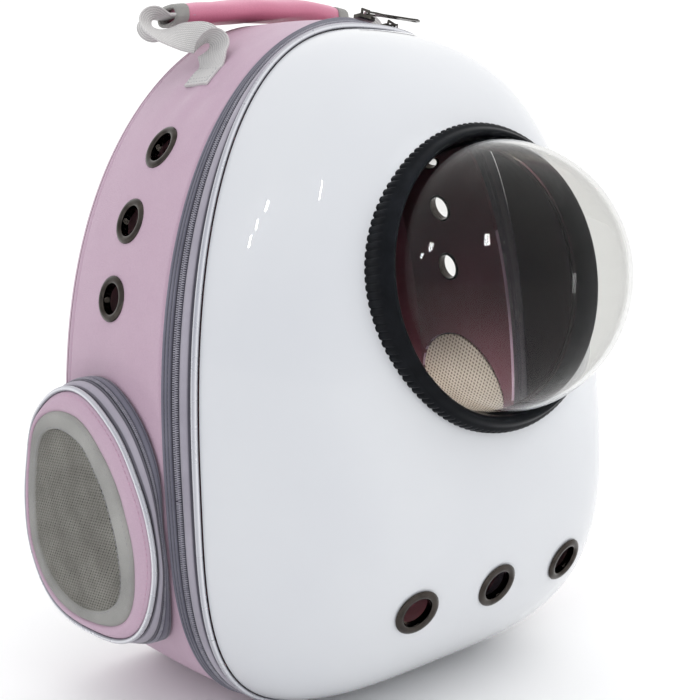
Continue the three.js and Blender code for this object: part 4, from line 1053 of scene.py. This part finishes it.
def pod_wall(deg, w, lift):
    """A point on the pocket's side, w from 0 at the foot to 1 at the face, standing lift proud."""
    deg, w = np.broadcast_arrays(np.asarray(deg, float), np.asarray(w, float))
    a, b = foot_point(deg, 0.0, 1.4), face_point(deg, 0.0)
    k = w * (1 - 2.5 / np.linalg.norm(a - b, axis=-1))
    p = a + (b - a) * k[..., None]
    bulge = np.sin(math.pi * np.clip(w, 0, 1)) * 1.6 + lift
    return p + np.stack([0 * w, -np.sin(np.radians(deg)) * bulge, np.cos(np.radians(deg)) * bulge], -1)


def pod_span(deg, dist, prof, painted_light_mark=None):
    pr = np.asarray(prof, float)
    D = np.repeat(deg[:, None], len(pr), 1)
    P = pod_wall(D, np.repeat(pr[None, :, 0], len(deg), 0), np.repeat(pr[None, :, 1], len(deg), 0))
    q = pr * [20, 1]
    return P, run_of(dist, q, painted_light_mark)


def net(key, inset, lift, pitch=2.3, thick=0.5, dish=1.2):
    """An open knitted net: staggered six-sided holes between threads, inside the named outline."""
    py, pz = pitch, pitch * 0.8
    ys = np.arange(-80, 80, py)
    zs = np.arange(-90, 90, pz)
    cells = []
    for i, z in enumerate(zs):
        for y in ys:
            yy = y + (py / 2 if i % 2 else 0)
            r = math.hypot(yy, z)
            c = math.degrees(math.atan2(-yy, z))
            if r < float(podr(c, key)) - inset:
                cells.append((POD_Y + yy, POD_Z + z))
    C = np.array(cells)
    a = np.radians(np.arange(6) * 60 + 30)
    hexo = np.stack([np.cos(a) * py / math.sqrt(3) * 1.0, np.sin(a) * pz / 1.5 * 1.0], 1)
    hexi = np.stack([np.cos(a) * py / math.sqrt(3) * 0.40, np.sin(a) * pz / 1.5 * 0.44], 1)
    n = len(C)
    rmax = 60.0

    def put(off, dx):
        q = C[:, None, :] + off[None]
        rr = np.hypot(q[..., 0] - POD_Y, q[..., 1] - POD_Z)
        x = -(PLANE_X + PLANE_SLOPE * (q[..., 0] - PLANE_Y)) - lift - dx - dish * np.clip(1 - (rr / rmax) ** 2, 0, 1)
        return np.stack([x, q[..., 0], q[..., 1]], -1)
    V = np.stack([put(hexo, thick * 0.3), put((hexo + hexi * 1.2) / 2.1, thick), put(hexi, thick * 0.5), put((hexo + hexi * 1.2) / 2.1, 0.0)], 1)   # n x 4 x 6 x 3
    k = np.arange(6)
    f = []
    for a0, b0 in ((0, 1), (1, 2), (2, 3), (3, 0)):
        f.append(np.stack([a0 * 6 + k, a0 * 6 + (k + 1) % 6, b0 * 6 + (k + 1) % 6, b0 * 6 + k], -1))
    f = np.concatenate(f)
    faces = (np.arange(n)[:, None, None] * 24 + f[None]).reshape(-1, 4).tolist()
    return V.reshape(-1, 3), faces


def build_pods():
    a0, a1 = POD_HINGE[1] - 360, POD_HINGE[0]
    arc, d = clock_even(150, "foot", a0, a1, False)
    hin, dh = clock_even(26, "foot", a1 + 0.6, POD_HINGE[1] - 0.6, False)
    full, df = clock_even(220)
    parts = []

    def add(name, part, mat_, slot, cad=(), run=None, angle=60):
        parts.append((name, part, mat_, slot, cad, run, angle))

    # painted shade: the last list given to pod_span darkens the base and the gusset in their grooves and along their
    # edges
    P, r = pod_span(arc, d, [(0.0, -1.6), (0.0, -0.3), (0.03, 0.3), (0.08, 0.5), (0.12, 0.15), (0.16, 0.45), (0.27, 0.6), (0.34, 0.35), (0.38, 0.1), (0.38, -1.6)],
                    [0.9, 0.9, 0.3, 0.2, 0.9, 0.1, 0.0, 0.2, 0.8, 0.9])
    add("pod_base", tube(P), TAPE_DARK_M, "zip_tape_dark", ["tape"], r)
    P, r = pod_span(arc, d, [(0.385, -1.8), (0.385, -0.2), (0.47, 0.0), (0.565, -0.2), (0.565, -1.8)])
    add("pod_coil_base", tube(P), COIL_BASE_M, "zip_tape_dark", (), r)
    P, r = pod_span(arc, d, [(0.585, -1.6), (0.585, 0.1), (0.61, 0.7), (0.64, 0.75), (0.665, 0.2), (0.69, 0.4), (0.74, 0.65), (0.84, 0.75), (0.92, 0.5), (0.965, 0.15), (0.99, 0.6), (1.02, 0.5), (1.02, -1.6)],
                    [0.9, 0.9, 0.75, 0.8, 1.0, 0.2, 0.0, 0.0, 0.05, 0.9, 0.75, 0.9, 0.9])
    add("pod_gusset", tube(P), TAPE_M, "zip_tape", ["gusset"], r)
    P, r = pod_span(hin, dh, [(0.0, -1.6), (0.0, -0.2), (0.04, 0.3), (0.3, 0.5), (0.6, 0.6), (0.92, 0.3), (1.0, 0.0), (1.0, -1.6)])
    add("pod_hinge_cloth", tube(P), PINK_M, "pink_leather", ["hinge"], None)
    # teeth
    n = int(d[-1] / 1.35) - 2
    rows = []
    for k, (w0, w1) in enumerate(((0.395, 0.49), (0.46, 0.555))):
        t = (np.arange(n) + 0.5 + 0.5 * k) * 1.35
        g = np.interp(t, d, arc)
        A, B = pod_wall(g, np.full(n, w0), np.full(n, 0.45)), pod_wall(g, np.full(n, w1), np.full(n, 0.45))
        nn = np.stack([0 * g, -np.sin(np.radians(g)), np.cos(np.radians(g))], -1)
        tt = unit(B - A)
        nn = unit(nn - tt * (nn * tt).sum(-1, keepdims=True))
        rows.append(bars(A, B, nn, 0.95, 1.1, 0.3))
    add("pod_coil_teeth", joined(*rows), COIL_M, "zip_coil", ["coil"], None)
    # piping round the face, drawn with a painted highlight on its crest and painted shade on its flanks
    a = np.arange(14) * 2 * math.pi / 14
    c = face_point(full, 0.2)
    ny, nz = -np.sin(np.radians(full)), np.cos(np.radians(full))
    ring = np.stack([c[:, 0][:, None] - 1.75 * np.sin(a)[None], c[:, 1][:, None] + ny[:, None] * 1.75 * np.cos(a)[None], c[:, 2][:, None] + nz[:, None] * 1.75 * np.cos(a)[None]], -1)
    painted_light_fac = 0.5 + 0.5 * np.cos(a - 0.55)
    pr = np.stack([1.75 * np.sin(a), 1.75 * np.cos(a)], 1)
    add("pod_piping", tube(ring, True), PIPING_PAINTED_LIGHT_M, "piping", ["piping"], run_of(df, pr, painted_light_fac), 180)

    def plate(key0, in0, key1, in1, prof):
        """A ring on the pocket's face between two outlines; prof: share across, height."""
        pr = np.asarray(prof, float)
        r0, r1 = podr(full, key0) - in0, podr(full, key1) - in1
        rr = r0[:, None] + (r1 - r0)[:, None] * pr[None, :, 0]
        y, z = podyz(full[:, None], rr)
        x = -(PLANE_X + PLANE_SLOPE * (y - PLANE_Y)) - pr[None, :, 1]
        return np.stack([x, y, z], -1), run_of(df, pr * [14, 1])
    P, r = plate("face", 1.9, "binding", -0.6, [(0.0, -0.8), (0.0, 0.5), (0.05, 1.0), (0.12, 1.5), (0.25, 2.2), (0.45, 2.7), (0.65, 2.6), (0.82, 1.9), (0.93, 1.1), (1.0, 0.6), (1.0, -0.8)])
    add("pod_frame", tube(P, True), PINK_M, "pink_leather", ["frame"], None, 180)
    P, r = plate("binding", -0.9, "mesh", -0.3, [(0.0, -0.8), (0.0, 0.9), (0.04, 1.3), (0.12, 2.2), (0.25, 2.6), (0.45, 2.7), (0.62, 2.5), (0.8, 2.1), (0.92, 1.5), (0.98, 0.9), (1.0, 0.2), (1.0, -0.8)])
    add("pod_binding", tube(P, True), BINDING_M, "webbing", ["binding"], r, 180)
    for nm, key, ins, h, th in (("stitch_pod_binding", "binding", 1.6, 2.25, THREAD_GREY_M), ("stitch_pod_mesh", "mesh", -1.7, 1.95, THREAD_GREY_M), ("stitch_pod_frame", "face", 4.4, 1.85, THREAD_PINK_M)):
        rr = podr(full, key) - ins
        y, z = podyz(full, rr)
        p = np.stack([-(PLANE_X + PLANE_SLOPE * (y - PLANE_Y)) - h, y, z], -1)
        add(nm, bars(*along(p, np.repeat([[-1.0, 0, 0]], len(p), 0), 3.6, 2.6, True), 0.5, 0.4), th, "webbing")
    add("pod_net", net("mesh", -0.9, 0.35), NET_M, "window_mesh", ["mesh"], None, 180)
    # painted shade: a dark knitted sheet just behind the net, standing for the shade inside the pocket that shows
    # through it
    ks = np.linspace(0, 1, 14)
    r0 = (podr(full, "mesh") + 0.9)[:, None] * ks[None]
    y, z = podyz(full[:, None], r0)
    Q = np.stack([-(PLANE_X + PLANE_SLOPE * (y - PLANE_Y)) + 0.55 - 1.2 * np.clip(1 - (r0 / 60) ** 2, 0, 1), y, z], -1)
    ring = np.concatenate([Q, (Q + np.array([0.5, 0, 0]))[:, ::-1]], 1)
    add("pod_net_back", grid(ring, True, True), NET_SHADE_SHEET_M, "window_mesh", (), np.stack([ring[..., 1] / 1000, ring[..., 2] / 1000, 0 * ring[..., 0]], -1).reshape(-1, 3), 180)
    # the plain knitted sheet over the opening in the band
    cc, _ = clock_even(120, "foot")
    ks = np.linspace(0, 1, 26)
    edge = foot_point(cc, POD_OPENING + 1.2, -1.0)
    mid = np.array([-float(wall_at(POD_Y, POD_Z)) + 1.2, POD_Y, POD_Z])
    Q = mid + (edge[:, None, :] - mid) * ks[None, :, None]
    Q[..., 0] -= 3.5 * (1 - ks[None, :] ** 2)
    Qb = Q + np.array([0.9, 0, 0])
    ring = np.concatenate([Q, Qb[:, ::-1]], 1)
    run = np.stack([ring[..., 1] / 1000, ring[..., 2] / 1000, 0 * ring[..., 0]], -1).reshape(-1, 3)
    add("pod_inner_sheet", grid(ring, True, True), INNER_M, "inner_mesh", ["inner_mesh"], run)
    out = {}
    for side in ("left", "right"):
        for name, part, mat_, slot, cad, run, angle in parts:
            o = make("%s_%s" % (name, side), part if side == "left" else mirror(part), mat_, ["pod_%s_%s" % (side, x) for x in cad], run=run, angle=angle)
            if name in ("pod_inner_sheet", "pod_net_back"):
                bm = bmesh.new()
                bm.from_mesh(o.data)
                bmesh.ops.remove_doubles(bm, verts=bm.verts, dist=0.00005)
                bm.to_mesh(o.data)
                bm.free()
            out[name, side] = o
        y, z = podyz(full, podr(full, "mesh") + 0.9)
    return out


# ------------------------------------------------------------------ handle
def grip_section(p, wide, thick, k=0.7, n=40, sag=0.0):
    a = np.arange(n) * 2 * math.pi / n
    c, w = np.cos(a), np.sin(a)
    y = wide / 2 * np.sign(c) * np.abs(c) ** k
    z = thick / 2 * np.sign(w) * np.abs(w) ** k
    P = np.stack([np.full(n, p[0]), p[1] + y, p[2] + z], 1)
    # the run's third value is the height across the section, 0 below and 1 on top, which the grip material draws as
    # painted shade below and painted light on top
    t = np.stack([np.zeros(n), np.zeros(n), (z / thick) + 0.5], 1)
    return P, t


def build_handle():
    line = curve([(x, GRIP["y"], z) for x, z in GRIP_LINE], 200)
    x0, x1, wb = GRIP_LINE[0][0], GRIP_LINE[-1][0], GRIP["binding"]
    at = lambda x: np.array([x, GRIP["y"], np.interp(x, line[:, 0], line[:, 2])])
    xs = np.concatenate([[x0 + wb - 1.5], np.linspace(x0 + wb, x1 - wb, 90), [x1 - wb + 1.5]])
    P, R = [], []
    for i, x in enumerate(xs):
        u = (x - x0) / (x1 - x0)
        full = 1 + 0.035 * math.sin(math.pi * u) + 0.012 * math.sin(19 * u) * math.sin(math.pi * u)
        end = 1 - 0.07 * math.exp(-((x - x0 - wb) / 4) ** 2) - 0.07 * math.exp(-((x1 - wb - x) / 4) ** 2)
        if i in (0, len(xs) - 1):
            end *= 0.9
        s, t = grip_section(at(x), GRIP["wide"] * full * end, GRIP["thick"] * full * end)
        s[:, 2] += 0.35 * np.sin(s[:, 1] / 3.1 + x / 7.0) * math.sin(math.pi * u)
        t[:, 0], t[:, 1] = x / 1000, np.arange(len(t)) / 1000
        P.append(s)
        R.append(t)
    grip = make("grip_pad", tube(np.stack(P)), GRIP_M, ["handle_grip"], run=np.concatenate(R), angle=180)
    # a sewn seam along the grip's under front edge
    xs2 = np.linspace(x0 + wb + 2, x1 - wb - 2, 120)
    p = np.array([at(x) for x in xs2])
    p[:, 1] -= GRIP["wide"] / 2 * 0.99
    p[:, 2] -= 2.0
    make("stitch_grip", bars(*along(p, np.repeat([[0, -0.94, -0.34]], len(p), 0), 3.8, 2.7), 0.5, 0.45), THREAD_PINK_M, angle=60)
    for side, xa, xb in (("left", x0, x0 + wb), ("right", x1, x1 - wb)):
        sg = 1 if xb > xa else -1
        rows = []
        for x, k, ins in ((xa + sg * 5, 0.72, 1), (xa + sg * 0.4, 0.76, 1), (xa, 0.84, 1), (xa + sg * 0.3, 0.93, 0), (xa + sg * 1.4, 0.985, 0), (xa + sg * 4, 1.0, 0), (xb - sg * 2, 1.01, 0), (xb - sg * 0.3, 1.0, 0), (xb + sg * 0.3, 0.955, 0), (xb, 0.86, 0), (xb - sg * 3, 0.74, 1)):
            rows.append(grip_section(at(x), GRIP["wide"] * k, GRIP["thick"] * (k if not ins else k - 0.12))[0])
        P = np.stack(rows)
        r = np.zeros(P.shape)
        r[..., 0] = np.arange(P.shape[0])[:, None] * 0.0016
        r[..., 1] = np.arange(P.shape[1])[None] * 0.0018
        make("grip_binding_" + side, grid(P, True, True), BINDING_M, ["handle_binding_" + side], run=r.reshape(-1, 3), angle=180)
    # webbing: from inside the grip's end down to the patch sewn on the band
    rows = [(x0 + 6, 118, 441.6, 0, 1, 0)] + [WEB_LINE[0]] + list(WEB_LINE[1:])
    low = []
    for i in range(5):
        z = WEB["high"] + (WEB["low"] - WEB["high"]) * i / 4
        x = -float(wall_at(WEB["anchor_y"], z))
        up = unit([-float(wall_at(WEB["anchor_y"], z + 2)) + float(wall_at(WEB["anchor_y"], z - 2)), 0, 4.0])
        q = np.array([x, WEB["anchor_y"], z]) + np.array([-up[2], 0, up[0]]) * (WEB["thick"] / 2 + 0.9)
        low.append((*q, -(float(wall_at(76, 395)) - float(wall_at(56, 395))) / 20, 1, 0))
    allr = curve(rows + low, 150)
    for _ in range(6):
        allr[1:-22, :] = (allr[:-23] + 2 * allr[1:-22] + allr[2:-21]) / 4
    path, side_v = allr[:, :3], allr[:, 3:]
    sec = rounded(WEB["wide"], WEB["thick"], 0.7, 3, 0.0, 12)
    dist = np.concatenate([[0], np.cumsum(np.linalg.norm(np.diff(path, axis=0), axis=1))])
    r = np.zeros((len(path), len(sec), 3))
    r[..., 0], r[..., 1] = dist[:, None] / 1000, sec[None, :, 0] / 1000
    left = swept(path, side_v, sec)
    right = left.copy()
    right[..., 0] *= -1
    k = np.clip((right[..., 2] - 404) / 28, 0, 1)
    k = k * k * (3 - 2 * k)
    right[..., 2] += 7 * k
    right[..., 0] += 2 * k
    tt, ww, nn = frames(path, side_v)
    for side, P in (("left", left), ("right", right)):
        make("webbing_" + side, tube(P), WEB_M, ["handle_webbing_" + side], run=r.reshape(-1, 3), angle=50)
        # stitched box on the anchor patch
        zs = [path[-1] + (path[-22] - path[-1]) * s for s in (0.12, 0.9)]
        st = []
        for s in (0.10, 0.30, 0.86):
            i = int(len(path) - 1 - s * 22)
            c = path[i] + nn[i] * (WEB["thick"] / 2) * (1 if nn[i][0] < 0 else -1)
            nv = nn[i] * (1 if nn[i][0] < 0 else -1)
            a_, b_ = c - ww[i] * 10.8, c + ww[i] * 10.8
            st.append(bars(*along(np.linspace(a_, b_, 20), np.repeat(nv[None], 20, 0), 3.0, 2.2), 0.55, 0.5))
        for e in (-10.8, 10.8):
            idx = np.arange(len(path) - 20, len(path) - 2)
            sg = np.where(nn[idx][:, :1] < 0, 1, -1)
            p = path[idx] + ww[idx] * e + nn[idx] * sg * WEB["thick"] / 2
            st.append(bars(*along(p, nn[idx] * sg, 3.0, 2.2), 0.55, 0.5))
        part = joined(*st)
        make("stitch_webbing_" + side, part if side == "left" else mirror(part), THREAD_GREY_M, angle=60)


# ------------------------------------------------------------------ straps
def build_straps():
    back_y = lambda z: SECT[2]["y"] + SECT[2]["lean"] * z
    pts = curve([(x, back_y(z) + off, z) for x, z, off in STRAP_LINE], 110)
    L = np.concatenate([[0], np.cumsum(np.linalg.norm(np.diff(pts, axis=0), axis=1))])
    side = np.repeat([[1.0, 0, 0]], len(pts), 0)
    u = L / L[-1]
    wide = 60 * (1 - 0.42 * np.clip((u - 0.86) / 0.14, 0, 1) ** 2 * 1.0)
    wide *= 1 - 0.3 * np.clip((0.07 - u) / 0.07, 0, 1)
    thick = 9 * (0.5 + 0.5 * np.sqrt(np.clip(np.minimum(u / 0.04, (1 - u) / 0.04), 0, 1)))
    secs = []
    for w_, t_ in zip(wide, thick):
        s = rounded(w_ - 4, t_ * 0.62, t_ * 0.3, 4, t_ * 0.19, 18)
        x = s[:, 0]
        for cx in (-w_ * 0.18, w_ * 0.18):
            s[:, 1] *= 1 - 0.22 * np.exp(-((x - cx) / 1.8) ** 2)
        secs.append(s)
    S = np.stack(secs)
    P = swept(pts, side, S)
    t, w, n = frames(pts, side)
    a = np.arange(10) * 2 * math.pi / 10
    edge_parts = []
    for sg in (-1, 1):
        c = pts + w * (sg * (wide / 2 - 1.9))[:, None]
        rr = np.stack([1.9 * np.cos(a), 1.5 * np.sin(a) * 1.2], 1)
        edge_parts.append(tube(c[:, None, :] + rr[None, :, :1] * w[:, None, :] + rr[None, :, 1:] * n[:, None, :]))
    tail = curve([(96.3, back_y(116) + 17.4, 116.0)] + [(x, back_y(z) + off, z) for x, z, off in TAIL_LINE], 60)
    sec = rounded(25, 1.8, 0.7, 3, 0, 12)
    TP = swept(tail, np.repeat([[1.0, 0, 0]], len(tail), 0), sec)
    TP[..., 2] = np.maximum(TP[..., 2], 1.0)
    dist = np.concatenate([[0], np.cumsum(np.linalg.norm(np.diff(tail, axis=0), axis=1))])
    r = np.zeros((len(tail), len(sec), 3))
    r[..., 0], r[..., 1] = dist[:, None] / 1000, sec[None, :, 0] / 1000
    st = []
    for e in (-1, 1):
        c = pts + w * (e * (wide / 2 - 5.5))[:, None]
        for sg in (-1, 1):
            p = c + n * (sg * (thick * 0.31 + 0.35))[:, None]
            st.append(bars(*along(p[4:-4], (n * sg)[4:-4], 4.0, 2.9), 0.5, 0.45))
    top = []
    q = pts[:14]
    flap = rounded(54, 2.0, 0.8, 3, 0, 6)
    fp = curve([(34.0, back_y(405) + 0.9, 405), (35.2, back_y(401) + 5.4, 402), (37.4, back_y(398) + 12.2, 399), (39.6, back_y(389) + 17.4, 389)], 30)
    FP = swept(fp, np.repeat([[1.0, 0, 0]], len(fp), 0), flap, np.stack([np.linspace(0.86, 1.04, 30), np.ones(30)], 1))
    low = curve([(101.5, back_y(64) + 1.2, 64), (104, back_y(40) + 1.0, 40), (106.0, back_y(22) + 0.8, 22)], 20)
    lt = np.linspace(1.0, 1.3, 20)
    LP = swept(low, np.repeat([[1.0, 0, 0]], 20, 0), rounded(32, 2.4, 0.9, 3, 0, 6), np.stack([lt, np.ones(20)], 1))
    for side_n in ("left", "right"):
        f = (lambda x: x) if side_n == "right" else mirror
        o = make("strap_pad_" + side_n, f(tube(P)), PAD_M, ["strap_" + side_n], angle=60)
        make("strap_edge_" + side_n, f(joined(*edge_parts)), STRAP_EDGE_M, angle=60)
        make("stitch_strap_" + side_n, f(joined(*st)), THREAD_GREY_M, angle=60)
        make("strap_flap_" + side_n, f(tube(FP)), PINK_M, angle=50)
        make("strap_tail_" + side_n, f(tube(TP)), WEB_M, ["strap_webbing_" + side_n], run=r.reshape(-1, 3), angle=50)
        make("strap_foot_" + side_n, f(tube(LP)), PINK_M, angle=50)


# ------------------------------------------------------------------ carried-over hardware
def hardware():
    for n, m in (("zip_slider_left", ZIP_M), ("zip_slider_right", ZIP_M), ("zip_pull_left", ZIP_M), ("zip_pull_right", ZIP_M),
                 ("strap_adjuster_left", PLASTIC_M), ("strap_adjuster_right", PLASTIC_M)):
        o = frame["nodes"][n]
        o.data.materials.clear()
        o.data.materials.append(m)
        b = o.modifiers.new("edge", "BEVEL")
        b.width, b.segments, b.limit_method, b.angle_limit = 0.0003, 2, "ANGLE", rad(25)
        b.harden_normals = False


# ------------------------------------------------------------------ stage
def light(name, kind, loc, target, power, size, size_y=None, color=(1, 1, 1)):
    d = bpy.data.lights.new(name, kind)
    d.energy = power
    d.color = color
    if kind == "AREA":
        d.shape = "RECTANGLE" if size_y else "SQUARE"
        d.size = size
        if size_y:
            d.size_y = size_y
    o = bpy.data.objects.new(name, d)
    o.location = loc
    o.rotation_mode = "QUATERNION"
    o.rotation_quaternion = (Vector(target) - Vector(loc)).to_track_quat("-Z", "Y")
    bpy.context.scene.collection.objects.link(o)
    return o


CAM = {}


def glint(u, v, wide, tall, power, on, far=1.5):
    """A strip light that pixel (u, v) of the 700 x 700 frame shows mirrored in the shell or the dome."""
    d = unit(CAM["r0"] * (u - 350) / 1090.0 + CAM["r1"] * (350 - v) / 1090.0 + CAM["fwd"])
    o = CAM["eye"]
    if on == "dome":
        c = RING_P + RING_N * DOME["rise"]
        b = (d * (o - c)).sum()
        k = b * b - (((o - c) ** 2).sum() - DOME["radius"] ** 2)
        p = o + d * (-b - math.sqrt(max(k, 0)))
        n = unit(p - c)
    else:
        t = np.linspace(300, 900, 6001)
        q = o + d * t[:, None]
        i = int(np.argmax(q[:, 1] > shell_y(q[:, 0], q[:, 2])))
        p = q[i]
        n = shell_seat(p[0], p[2])[1]
    r = d - 2 * (d * n).sum() * n
    at = (p + np.array([0, SHIFT_Y, 0])) / 1000
    o = light("strip_%d_%d" % (u, v), "AREA", at + r * far, at, power, wide, tall)
    o.visible_diffuse = o.visible_transmission = False
    c = bpy.data.collections.get("lit_" + on) or bpy.data.collections.new("lit_" + on)
    piece = bpy.data.objects["dome_clear" if on == "dome" else "shell_front"]
    if piece.name not in c.objects:
        c.objects.link(piece)
    o.light_linking.receiver_collection = c


def camera():
    az, el, roll = rad(-38.460), rad(7.434), rad(-2.927)
    fwd = np.array([-math.sin(az) * math.cos(el), math.cos(az) * math.cos(el), -math.sin(el)])
    right = np.array([math.cos(az), math.sin(az), 0])
    up = np.cross(right, fwd)
    r0 = right * math.cos(roll) + up * math.sin(roll)
    r1 = -right * math.sin(roll) + up * math.cos(roll)
    CAM.update(r0=r0, r1=r1, fwd=fwd, eye=np.array([-451.2, -537.2, 309.3]))
    m = Matrix.Identity(4)
    for i in range(3):
        m[i][0], m[i][1], m[i][2] = r0[i], r1[i], -fwd[i]
    m[0][3], m[1][3], m[2][3] = -0.4512, -0.5372 + SHIFT_Y / 1000, 0.3093
    c = bpy.data.cameras.new("cam")
    c.sensor_fit = "HORIZONTAL"
    c.sensor_width = 36
    c.lens = 56.06
    o = bpy.data.objects.new("cam", c)
    o.matrix_world = m
    bpy.context.scene.collection.objects.link(o)
    bpy.context.scene.camera = o


def stage():
    k = Mat("studio_floor", IOR=1.4)
    k.link(k.ramp(k.noise(2.0, 3), (0.3, srgb(246, 246, 246)), (0.7, srgb(249, 249, 249))), "Base Color")
    k.link(k.rng(k.noise(30, 3), 0.3, 0.7, 0.55, 0.65), "Roughness")
    me = bpy.data.meshes.new("floor")
    s = 60.0
    me.from_pydata([(-s, -s, -0.0004), (s, -s, -0.0004), (s, s, -0.0004), (-s, s, -0.0004)], [], [(0, 1, 2, 3)])
    me.materials.append(k.m)
    fl = bpy.data.objects.new("floor", me)
    bpy.context.scene.collection.objects.link(fl)
    w = bpy.data.worlds.new("studio")
    bpy.context.scene.world = w
    w.use_nodes = True
    nt = w.node_tree
    bg = nt.nodes["Background"]
    tc = nt.nodes.new("ShaderNodeTexCoord")
    dot = nt.nodes.new("ShaderNodeVectorMath")
    dot.operation = "DOT_PRODUCT"
    dot.inputs[1].default_value = (0.86, 0.36, 0.36)
    nt.links.new(tc.outputs["Generated"], dot.inputs[0])
    ramp = nt.nodes.new("ShaderNodeValToRGB")
    half = nt.nodes.new("ShaderNodeMapRange")
    half.inputs["From Min"].default_value, half.inputs["From Max"].default_value = -1.0, 1.0
    nt.links.new(dot.outputs["Value"], half.inputs["Value"])
    nt.links.new(half.outputs["Result"], ramp.inputs["Fac"])
    e = ramp.color_ramp.elements
    e[0].position, e[0].color = 0.05, (0.66, 0.68, 0.74, 1)
    e[1].position, e[1].color = 0.44, (1.0, 1.0, 1.0, 1)
    nt.links.new(ramp.outputs["Color"], bg.inputs["Color"])
    bg.inputs["Strength"].default_value = 1.12
    key = light("key", "AREA", (-0.2, -2.2, 2.2), (0, 0, 0.2), 3.5, 2.0, 2.0)
    day = light("day", "SUN", (0.6, -0.5, 2.6), (0, 0, 0), 0.55, 1)
    day.data.angle = rad(60)
    # a narrow lamp through the dome, on the mesh inside
    spot = light("inside", "SPOT", (-0.488, -0.822, 0.788), (0.135, 0.100, 0.122), 125, 1)
    spot.data.spot_size, spot.data.spot_blend, spot.data.shadow_soft_size = rad(7.0), 0.6, 0.02
    for o in (key, day, spot):
        o.visible_glossy = False
    # small studio strips, each standing where the glossy shell or the dome mirrors it to the camera
    for u, v_, wide, tall, power, on in ((321, 190, 0.022, 0.15, 0.9, "shell"), (267, 206, 0.020, 0.07, 0.4, "shell"), (257, 224, 0.020, 0.06, 0.35, "shell"),
                                         (250, 241, 0.020, 0.07, 0.35, "shell"), (487, 240, 0.12, 0.26, 9.0, "dome"), (431, 247, 0.10, 0.16, 4.0, "dome"), (422, 256, 0.08, 0.12, 2.5, "dome"),
                                         (574, 290, 0.10, 0.60, 2.4, "dome")):
        glint(u, v_, wide, tall, power, on)
    v = bpy.context.scene.view_settings
    v.view_transform = "Standard"
    v.look = "None"


camera()
build_shell()
build_ring()
build_dome()
eyelets()
build_zip()
build_band()
build_back()
pods = build_pods()
build_handle()
build_straps()
hardware()
stage()
